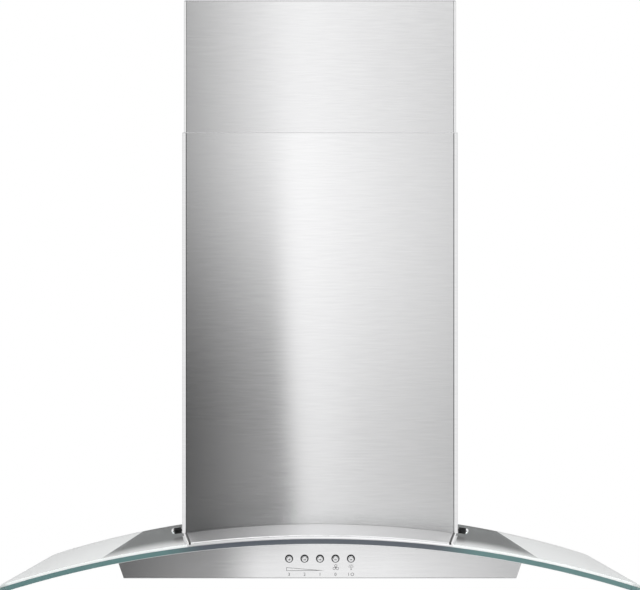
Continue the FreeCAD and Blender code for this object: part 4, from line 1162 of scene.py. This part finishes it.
@dataclass
class PanelMarks:
    """Printed marks under the buttons: a level wedge, a fan, a lamp and plain numerals."""

    face: float = -0.422
    proud: float = 0.00003
    line: float = 0.00045
    wedge: tuple[Spot, ...] = ((-0.0405, -0.1868), (0.0050, -0.1864), (-0.0405, -0.1826))
    fan: Spot = (0.0190, -0.1828)
    fan_hub: float = 0.0007
    fan_blade: float = 0.0017
    fan_orbit: float = 0.0022
    fan_turns: tuple[float, ...] = (90.0, 210.0, 330.0)
    lamp: Spot = (0.0374, -0.1820)
    lamp_bulb: float = 0.0016
    lamp_drop: float = 0.0030
    lamp_base: Spot = (0.0018, 0.0009)
    ray: Spot = (0.0013, 0.0004)
    ray_orbit: float = 0.0029
    ray_turns: tuple[float, ...] = (0.0, 45.0, 90.0, 135.0, 180.0)
    ring_steps: int = 20
    label_rise: float = -0.1911
    label_size: float = 0.0054
    labels: tuple[tuple[str, float], ...] = (
        ("3", -0.0372), ("2", -0.0186), ("1", 0.0), ("0", 0.0186), ("I O", 0.0374))

    @staticmethod
    def around(centre: Spot, orbit: float, turn: float) -> Spot:
        """Gives the spot at an orbit round a centre, at a turn in degrees."""
        angle = math.radians(turn)
        return centre[0] + orbit * math.cos(angle), centre[1] + orbit * math.sin(angle)

    def lay(self, bm: BMesh, part: BMesh, at: Spot) -> None:
        """Gives a flat mark its film and lays it on the panel.

        Args:
            bm: the mesh that takes the mark.
            part: the mark, which is used up.
            at: the mark's place across and up.
        """
        Solid.raise_faces(part, self.proud)
        turn = Matrix.Rotation(math.pi / 2, 4, "X")
        Solid.pour(bm, part, Matrix.Translation((at[0], self.face, at[1])) @ turn)

    def hollow(self, part: BMesh) -> None:
        """Leaves only the outline of a flat mark.

        Args:
            part: the mark.
        """
        part.normal_update()
        inner = part.faces[:]
        bmesh.ops.inset_region(part, faces=inner, thickness=self.line, use_boundary=True,
                               use_even_offset=True)
        bmesh.ops.delete(part, geom=inner, context="FACES")

    def ring(self, bm: BMesh, at: Spot, radius: float) -> None:
        """Lays a ring.

        Args:
            bm: the mesh that takes the mark.
            at: the ring's centre.
            radius: the ring's radius.
        """
        part = bmesh.new()
        bmesh.ops.create_circle(part, cap_ends=True, segments=self.ring_steps, radius=radius)
        self.hollow(part)
        self.lay(bm, part, at)

    def bar(self, bm: BMesh, at: Spot, size: Spot, turn: float) -> None:
        """Lays a short bar.

        Args:
            bm: the mesh that takes the mark.
            at: the bar's centre.
            size: the bar's length and width.
            turn: the bar's turn in degrees.
        """
        part = bmesh.new()
        bmesh.ops.create_grid(part, x_segments=1, y_segments=1, size=0.5)
        bmesh.ops.scale(part, vec=(*size, 1.0), verts=part.verts)
        bmesh.ops.rotate(part, matrix=Matrix.Rotation(math.radians(turn), 3, "Z"),
                         verts=part.verts)
        self.lay(bm, part, at)

    def numeral(self, bm: BMesh, text: str, across: float) -> None:
        """Lays a numeral.

        Args:
            bm: the mesh that takes the mark.
            text: the numeral.
            across: its place across the panel.
        """
        curve = bpy.data.curves.new("numeral", "FONT")
        curve.body = text
        curve.size = self.label_size
        curve.align_x = "CENTER"
        curve.align_y = "CENTER"
        holder = bpy.data.objects.new("numeral", curve)
        mesh = bpy.data.meshes.new_from_object(holder)
        part = bmesh.new()
        part.from_mesh(mesh)
        bmesh.ops.remove_doubles(part, verts=part.verts, dist=SAME)
        self.lay(bm, part, (across, self.label_rise))
        bpy.data.meshes.remove(mesh)
        bpy.data.objects.remove(holder)
        bpy.data.curves.remove(curve)

    def build(self, wardrobe: Wardrobe) -> None:
        """Lays all the marks as one piece.

        Args:
            wardrobe: where the finishes come from.
        """
        bm = bmesh.new()
        part = bmesh.new()
        part.faces.new([part.verts.new((across, up, 0.0)) for across, up in self.wedge])
        self.hollow(part)
        self.lay(bm, part, (0.0, 0.0))
        for turn in self.fan_turns:
            self.ring(bm, self.around(self.fan, self.fan_orbit, turn), self.fan_blade)
        self.ring(bm, self.fan, self.fan_hub)
        self.ring(bm, self.lamp, self.lamp_bulb)
        self.bar(bm, (self.lamp[0], self.lamp[1] - self.lamp_drop), self.lamp_base, 90.0)
        for turn in self.ray_turns:
            self.bar(bm, self.around(self.lamp, self.ray_orbit, turn), self.ray, turn)
        for text, across in self.labels:
            self.numeral(bm, text, across)
        wardrobe.keep(bm, "panel_marks", "hood", "black_plastic", finishes=(PANEL_INK,))


@dataclass
class SheetHems:
    """The narrow turned hems under the front panel and on top of both chimney covers, in a steel
    tone that paints the shade line along each hem.
    """

    tall: float = 0.0009
    deep: float = 0.0006
    eased: float = 0.00015
    proud: float = 0.0001
    short: float = 0.0012
    panel_half: float = 0.2355
    panel_face: float = -0.4221
    panel_low: float = -0.1957
    # The hems' tones are set to show a darker line along each hem: painted shade.
    panel_shade_tone: float = 0.52
    cover_drop: float = 0.0011
    cover_shade_tone: float = 0.88
    crown_drop: float = 0.0012
    crown_shade_tone: float = 0.5

    def bar(self, half: float, face: float, low: float) -> BMesh:
        """Makes a hem as a bar with eased edges.

        Args:
            half: half of its length.
            face: the depth of its front.
            low: the height of its underside.

        Returns:
            The bar.
        """
        bm = bmesh.new()
        bmesh.ops.create_cube(bm, size=1.0)
        bmesh.ops.scale(bm, vec=(2 * half, self.deep, self.tall), verts=bm.verts)
        centre = (0.0, face + self.deep / 2, low + self.tall / 2)
        bmesh.ops.translate(bm, vec=centre, verts=bm.verts)
        Solid.ease(bm, bm.edges[:], self.eased)
        return bm

    def steel(self, name: str, tone: float) -> tuple[Finish, ...]:
        """Gives a hem a steel finish whose tone paints the shade along the hem."""
        return (SheetMetal(f"{name} steel", (tone, tone, tone * 1.01), 0.35, 1.0, 90.0),)

    def build(self, wardrobe: Wardrobe) -> None:
        """Makes the three hems.

        Args:
            wardrobe: where the finishes come from.
        """
        wardrobe.keep(self.bar(self.panel_half, self.panel_face, self.panel_low), "panel_hem",
                      "hood", "shell_steel", finishes=self.steel("panel_hem", self.panel_shade_tone))
        low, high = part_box("lower_chimney")
        cover = self.bar(high[0] - self.short, low[1] - self.proud, high[2] - self.cover_drop)
        wardrobe.keep(cover, "cover_hem", "hood", "lower_steel",
                      finishes=self.steel("cover_hem", self.cover_shade_tone))
        low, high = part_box("upper_chimney")
        crown = self.bar(high[0] - self.short, low[1] - self.proud, high[2] - self.crown_drop)
        wardrobe.keep(crown, "crown_hem", "upper_cover", "upper_steel",
                      finishes=self.steel("crown_hem", self.crown_shade_tone))


@dataclass
class SaddleRim:
    """The rolled bead along one tapering side of the saddle, pale as a painted highlight, with a
    dark seam of painted shade inside it.

    Both run from the chimney over the glass's front edge.
    """

    name: str
    side: int
    start: Spot = (0.1719, -0.2885)
    bend: Spot = (0.1534, -0.4965)
    sit: float = 0.0006
    radius: float = 0.0013
    # The seam is a dark strip of painted shade beside the bead.
    seam: float = 0.0013
    seam_part: float = 0.4
    lift: float = 0.0009
    curl: float = 0.0022
    curl_turn: float = math.radians(85.0)
    curl_steps: int = 8
    steps: int = 6
    sides: int = 16

    def point(self, spot: Spot) -> Vector:
        """Lays a point of the saddle's plan on the arch, on this side."""
        return Vector((self.side * spot[0], spot[1], ARCH.height(spot[0], self.sit)))

    def run(self, bm: BMesh, radius: float, aside: Vector) -> None:
        """Runs a round section forward and curls it down.

        Args:
            bm: the mesh that takes it.
            radius: the section's radius.
            aside: how far from the rim it lies.
        """
        first = self.point(self.start) + aside
        last = self.point(self.bend) + aside
        made = bmesh.ops.create_circle(bm, cap_ends=True, segments=self.sides, radius=radius)
        verts = made["verts"]
        bmesh.ops.transform(bm, matrix=Solid.facing(first, last - first), verts=verts)
        geom: list[Any] = verts + list({edge for vert in verts for edge in vert.link_edges})
        geom += list({face for vert in verts for face in vert.link_faces})
        ahead = bmesh.ops.spin(bm, geom=geom, axis=(1.0, 0.0, 0.0), angle=0.0,
                               dvec=(last - first) / self.steps, steps=self.steps)
        bmesh.ops.spin(bm, geom=ahead["geom_last"], cent=last - Vector((0.0, 0.0, self.curl)),
                       axis=(1.0, 0.0, 0.0), angle=self.curl_turn, steps=self.curl_steps)

    def build(self, wardrobe: Wardrobe) -> None:
        """Makes the pale bead, a painted highlight, and the dark seam of painted shade along its
        inner side.

        Args:
            wardrobe: where the finishes come from.
        """
        bm = bmesh.new()
        self.run(bm, self.radius, Vector(STILL))
        bright = len(bm.faces)
        inward = -self.side * (self.radius + self.seam_part * self.seam)
        self.run(bm, self.seam, Vector((inward, 0.0, self.lift)))
        Solid.split(bm, bright)
        # The bead is a painted highlight and the seam painted shade.
        bead = wardrobe.keep(bm, f"saddle_rim_{self.name}", "hood", "bright_metal", smooth=40.0,
                             finishes=(ROLLED_BEAD_HIGHLIGHT, SEAM_SHADE))
        bead.visible_glossy = False


@dataclass
class ThumbScrew:
    """A black knurled thumb screw with a bright domed end."""

    name: str
    side: int
    lean: float = math.radians(8.105)
    height: float = 1.2502
    depth: float = -0.273
    radius: float = 0.00375
    root: float = 0.90
    ridges: int = 26
    start: float = 0.0009
    end: float = 0.0100
    eased: float = 0.0005
    shank: float = 0.0015
    shank_length: float = 0.012
    shank_tip: float = 0.8
    shank_ease: float = 0.0005
    shank_steps: int = 16
    cap: float = 0.0035
    cap_gap: float = 0.0002
    cap_length: float = 0.0034
    cap_band: float = 0.3
    cap_turns: tuple[float, ...] = (25.0, 50.0, 70.0)
    cap_steps: int = 24

    def place(self) -> Matrix:
        """Gives the screw's place, its Z axis pointing away from the cover.

        Returns:
            The place.
        """
        sine, cosine = math.sin(self.lean), math.cos(self.lean)
        at = (self.side * sine * self.height, self.depth, ARCH.axis + cosine * self.height)
        return Solid.facing(at, (self.side * cosine, 0.0, -sine))

    def knurl(self) -> BMesh:
        """Makes the ridged grip.

        Returns:
            The grip, along the Z axis.
        """
        bm = bmesh.new()
        bmesh.ops.create_circle(bm, cap_ends=True, segments=2 * self.ridges, radius=self.radius)
        bm.verts.ensure_lookup_table()
        valleys = [bm.verts[index] for index in range(0, 2 * self.ridges, 2)]
        bmesh.ops.scale(bm, vec=(self.root, self.root, 1.0), verts=valleys)
        Solid.raise_faces(bm, self.end - self.start)
        rims = [edge for edge in bm.edges
                if abs(edge.verts[0].co.z - edge.verts[1].co.z) < SAME]
        Solid.ease(bm, rims, self.eased)
        bmesh.ops.translate(bm, vec=(0.0, 0.0, self.start), verts=bm.verts)
        return bm

    def shaft(self) -> BMesh:
        """Turns the shank.

        Returns:
            The shank, along the Z axis.
        """
        tip = -self.shank_length
        return Solid.turned([(0.0, tip), (self.shank * self.shank_tip, tip),
                             (self.shank, self.shank_ease + tip), (self.shank, self.start),
                             (0.0, self.start)], self.shank_steps)

    def dome(self) -> BMesh:
        """Turns the bright end.

        Returns:
            The end, along the Z axis.
        """
        foot = self.end + self.cap_gap
        band = self.cap_band
        points = [(0.0, foot), (self.cap, foot), (self.cap, foot + band * self.cap_length)]
        for turn in (math.radians(angle) for angle in self.cap_turns):
            rise = band + (1.0 - band) * math.sin(turn)
            points.append((self.cap * math.cos(turn), foot + self.cap_length * rise))
        points.append((0.0, foot + self.cap_length))
        return Solid.turned(points, self.cap_steps)

    def build(self, wardrobe: Wardrobe) -> None:
        """Makes the screw and its end.

        Args:
            wardrobe: where the finishes come from.
        """
        bm = bmesh.new()
        Solid.pour(bm, self.knurl(), self.place())
        Solid.pour(bm, self.shaft(), self.place())
        grip = wardrobe.keep(bm, f"thumb_screw_{self.name}", "hood", "knob_black",
                             (f"cover_screw_{self.name}",), 30.0)
        bm = bmesh.new()
        Solid.pour(bm, self.dome(), self.place())
        tip = wardrobe.keep(bm, f"thumb_screw_end_{self.name}", "hood", "bright_metal",
                            (f"cover_screw_cap_{self.name}",), 50.0)
        for piece in (grip, tip):
            piece.visible_glossy = False


@dataclass
class GreaseMesh:
    """The expanded aluminium mesh of a grease filter, in two layers."""

    name: str
    cell: Spot = (0.0095, 0.0048)
    cells: int = 74
    wire: float = 0.0008
    levels: tuple[Spot, ...] = ((0.0006, 0.0), (0.0030, 0.5))

    def layer(self, low: Vector, high: Vector, shift: float) -> BMesh:
        """Makes one layer, trimmed to the filter's window.

        Args:
            low: the window's lowest corner.
            high: the window's highest corner.
            shift: the layer's shift, as a share of a cell.

        Returns:
            The layer, flat at the height of the lowest corner.
        """
        bm = bmesh.new()
        bmesh.ops.create_grid(bm, x_segments=self.cells, y_segments=self.cells,
                              size=self.cells / 2)
        bmesh.ops.rotate(bm, matrix=Matrix.Rotation(math.pi / 4, 3, "Z"), verts=bm.verts)
        sizes = (self.cell[0] / math.sqrt(2), self.cell[1] / math.sqrt(2), 1.0)
        bmesh.ops.scale(bm, vec=sizes, verts=bm.verts)
        centre = ((low.x + high.x) / 2 + shift * self.cell[0], (low.y + high.y) / 2, low.z)
        bmesh.ops.translate(bm, vec=centre, verts=bm.verts)
        for corner, way in ((low, -1.0), (high, 1.0)):
            for out in (Vector((way, 0.0, 0.0)), Vector((0.0, way, 0.0))):
                bmesh.ops.bisect_plane(bm, geom=bm.verts[:] + bm.edges[:] + bm.faces[:],
                                       plane_co=corner - out * self.wire, plane_no=out,
                                       clear_outer=True)
        bmesh.ops.wireframe(bm, faces=bm.faces[:], thickness=self.wire, use_replace=True,
                            use_boundary=True)
        return bm

    def build(self, wardrobe: Wardrobe) -> None:
        """Makes both layers as one piece.

        Args:
            wardrobe: where the finishes come from.
        """
        low, high = (Vector(corner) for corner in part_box(f"filter_mesh_{self.name}"))
        bm = bmesh.new()
        for rise, shift in self.levels:
            Solid.pour(bm, self.layer(low, high, shift), Matrix.Translation((0.0, 0.0, rise)))
        wardrobe.keep(bm, f"grease_mesh_{self.name}", f"filter_{self.name}", "mesh_aluminium",
                      (f"filter_mesh_{self.name}",))


@dataclass
class LampLens:
    """A lamp's pressed lens with rings on its underside."""

    name: str
    side: int
    across: float = 0.150
    depth: float = -0.376
    base: float = -0.1947
    radius: float = 0.0273
    thick: float = 0.003
    rings: int = 11
    ridge: float = 0.0005
    steps: int = 72

    def build(self, wardrobe: Wardrobe) -> None:
        """Turns the ringed lens.

        Args:
            wardrobe: where the finishes come from.
        """
        halves = 2 * self.rings
        points = [(self.radius * step / halves, self.ridge * (step % 2)) for step in range(halves)]
        points += [(self.radius, 0.0), (self.radius, self.thick), (0.0, self.thick)]
        place = Matrix.Translation((self.side * self.across, self.depth, self.base))
        bm = bmesh.new()
        Solid.pour(bm, Solid.turned(points, self.steps), place)
        wardrobe.keep(bm, f"ringed_lens_{self.name}", "hood", "lens_glass",
                      (f"lamp_lens_{self.name}",), 15.0)


def main() -> None:
    """Builds the studio and dresses the hood."""
    logging.basicConfig(level=logging.INFO, format="%(name)s: %(message)s")
    wardrobe = Wardrobe()
    Studio().build()
    wardrobe.dress_nodes()
    for pieces in (GlassEdge(), PushButtons(), PanelMarks(), SheetHems()):
        pieces.build(wardrobe)
    for name, side in (("left", -1), ("right", 1)):
        SaddleRim(name, side).build(wardrobe)
        ThumbScrew(name, side).build(wardrobe)
        GreaseMesh(name).build(wardrobe)
        LampLens(name, side).build(wardrobe)


if __name__ == "__main__":
    main()
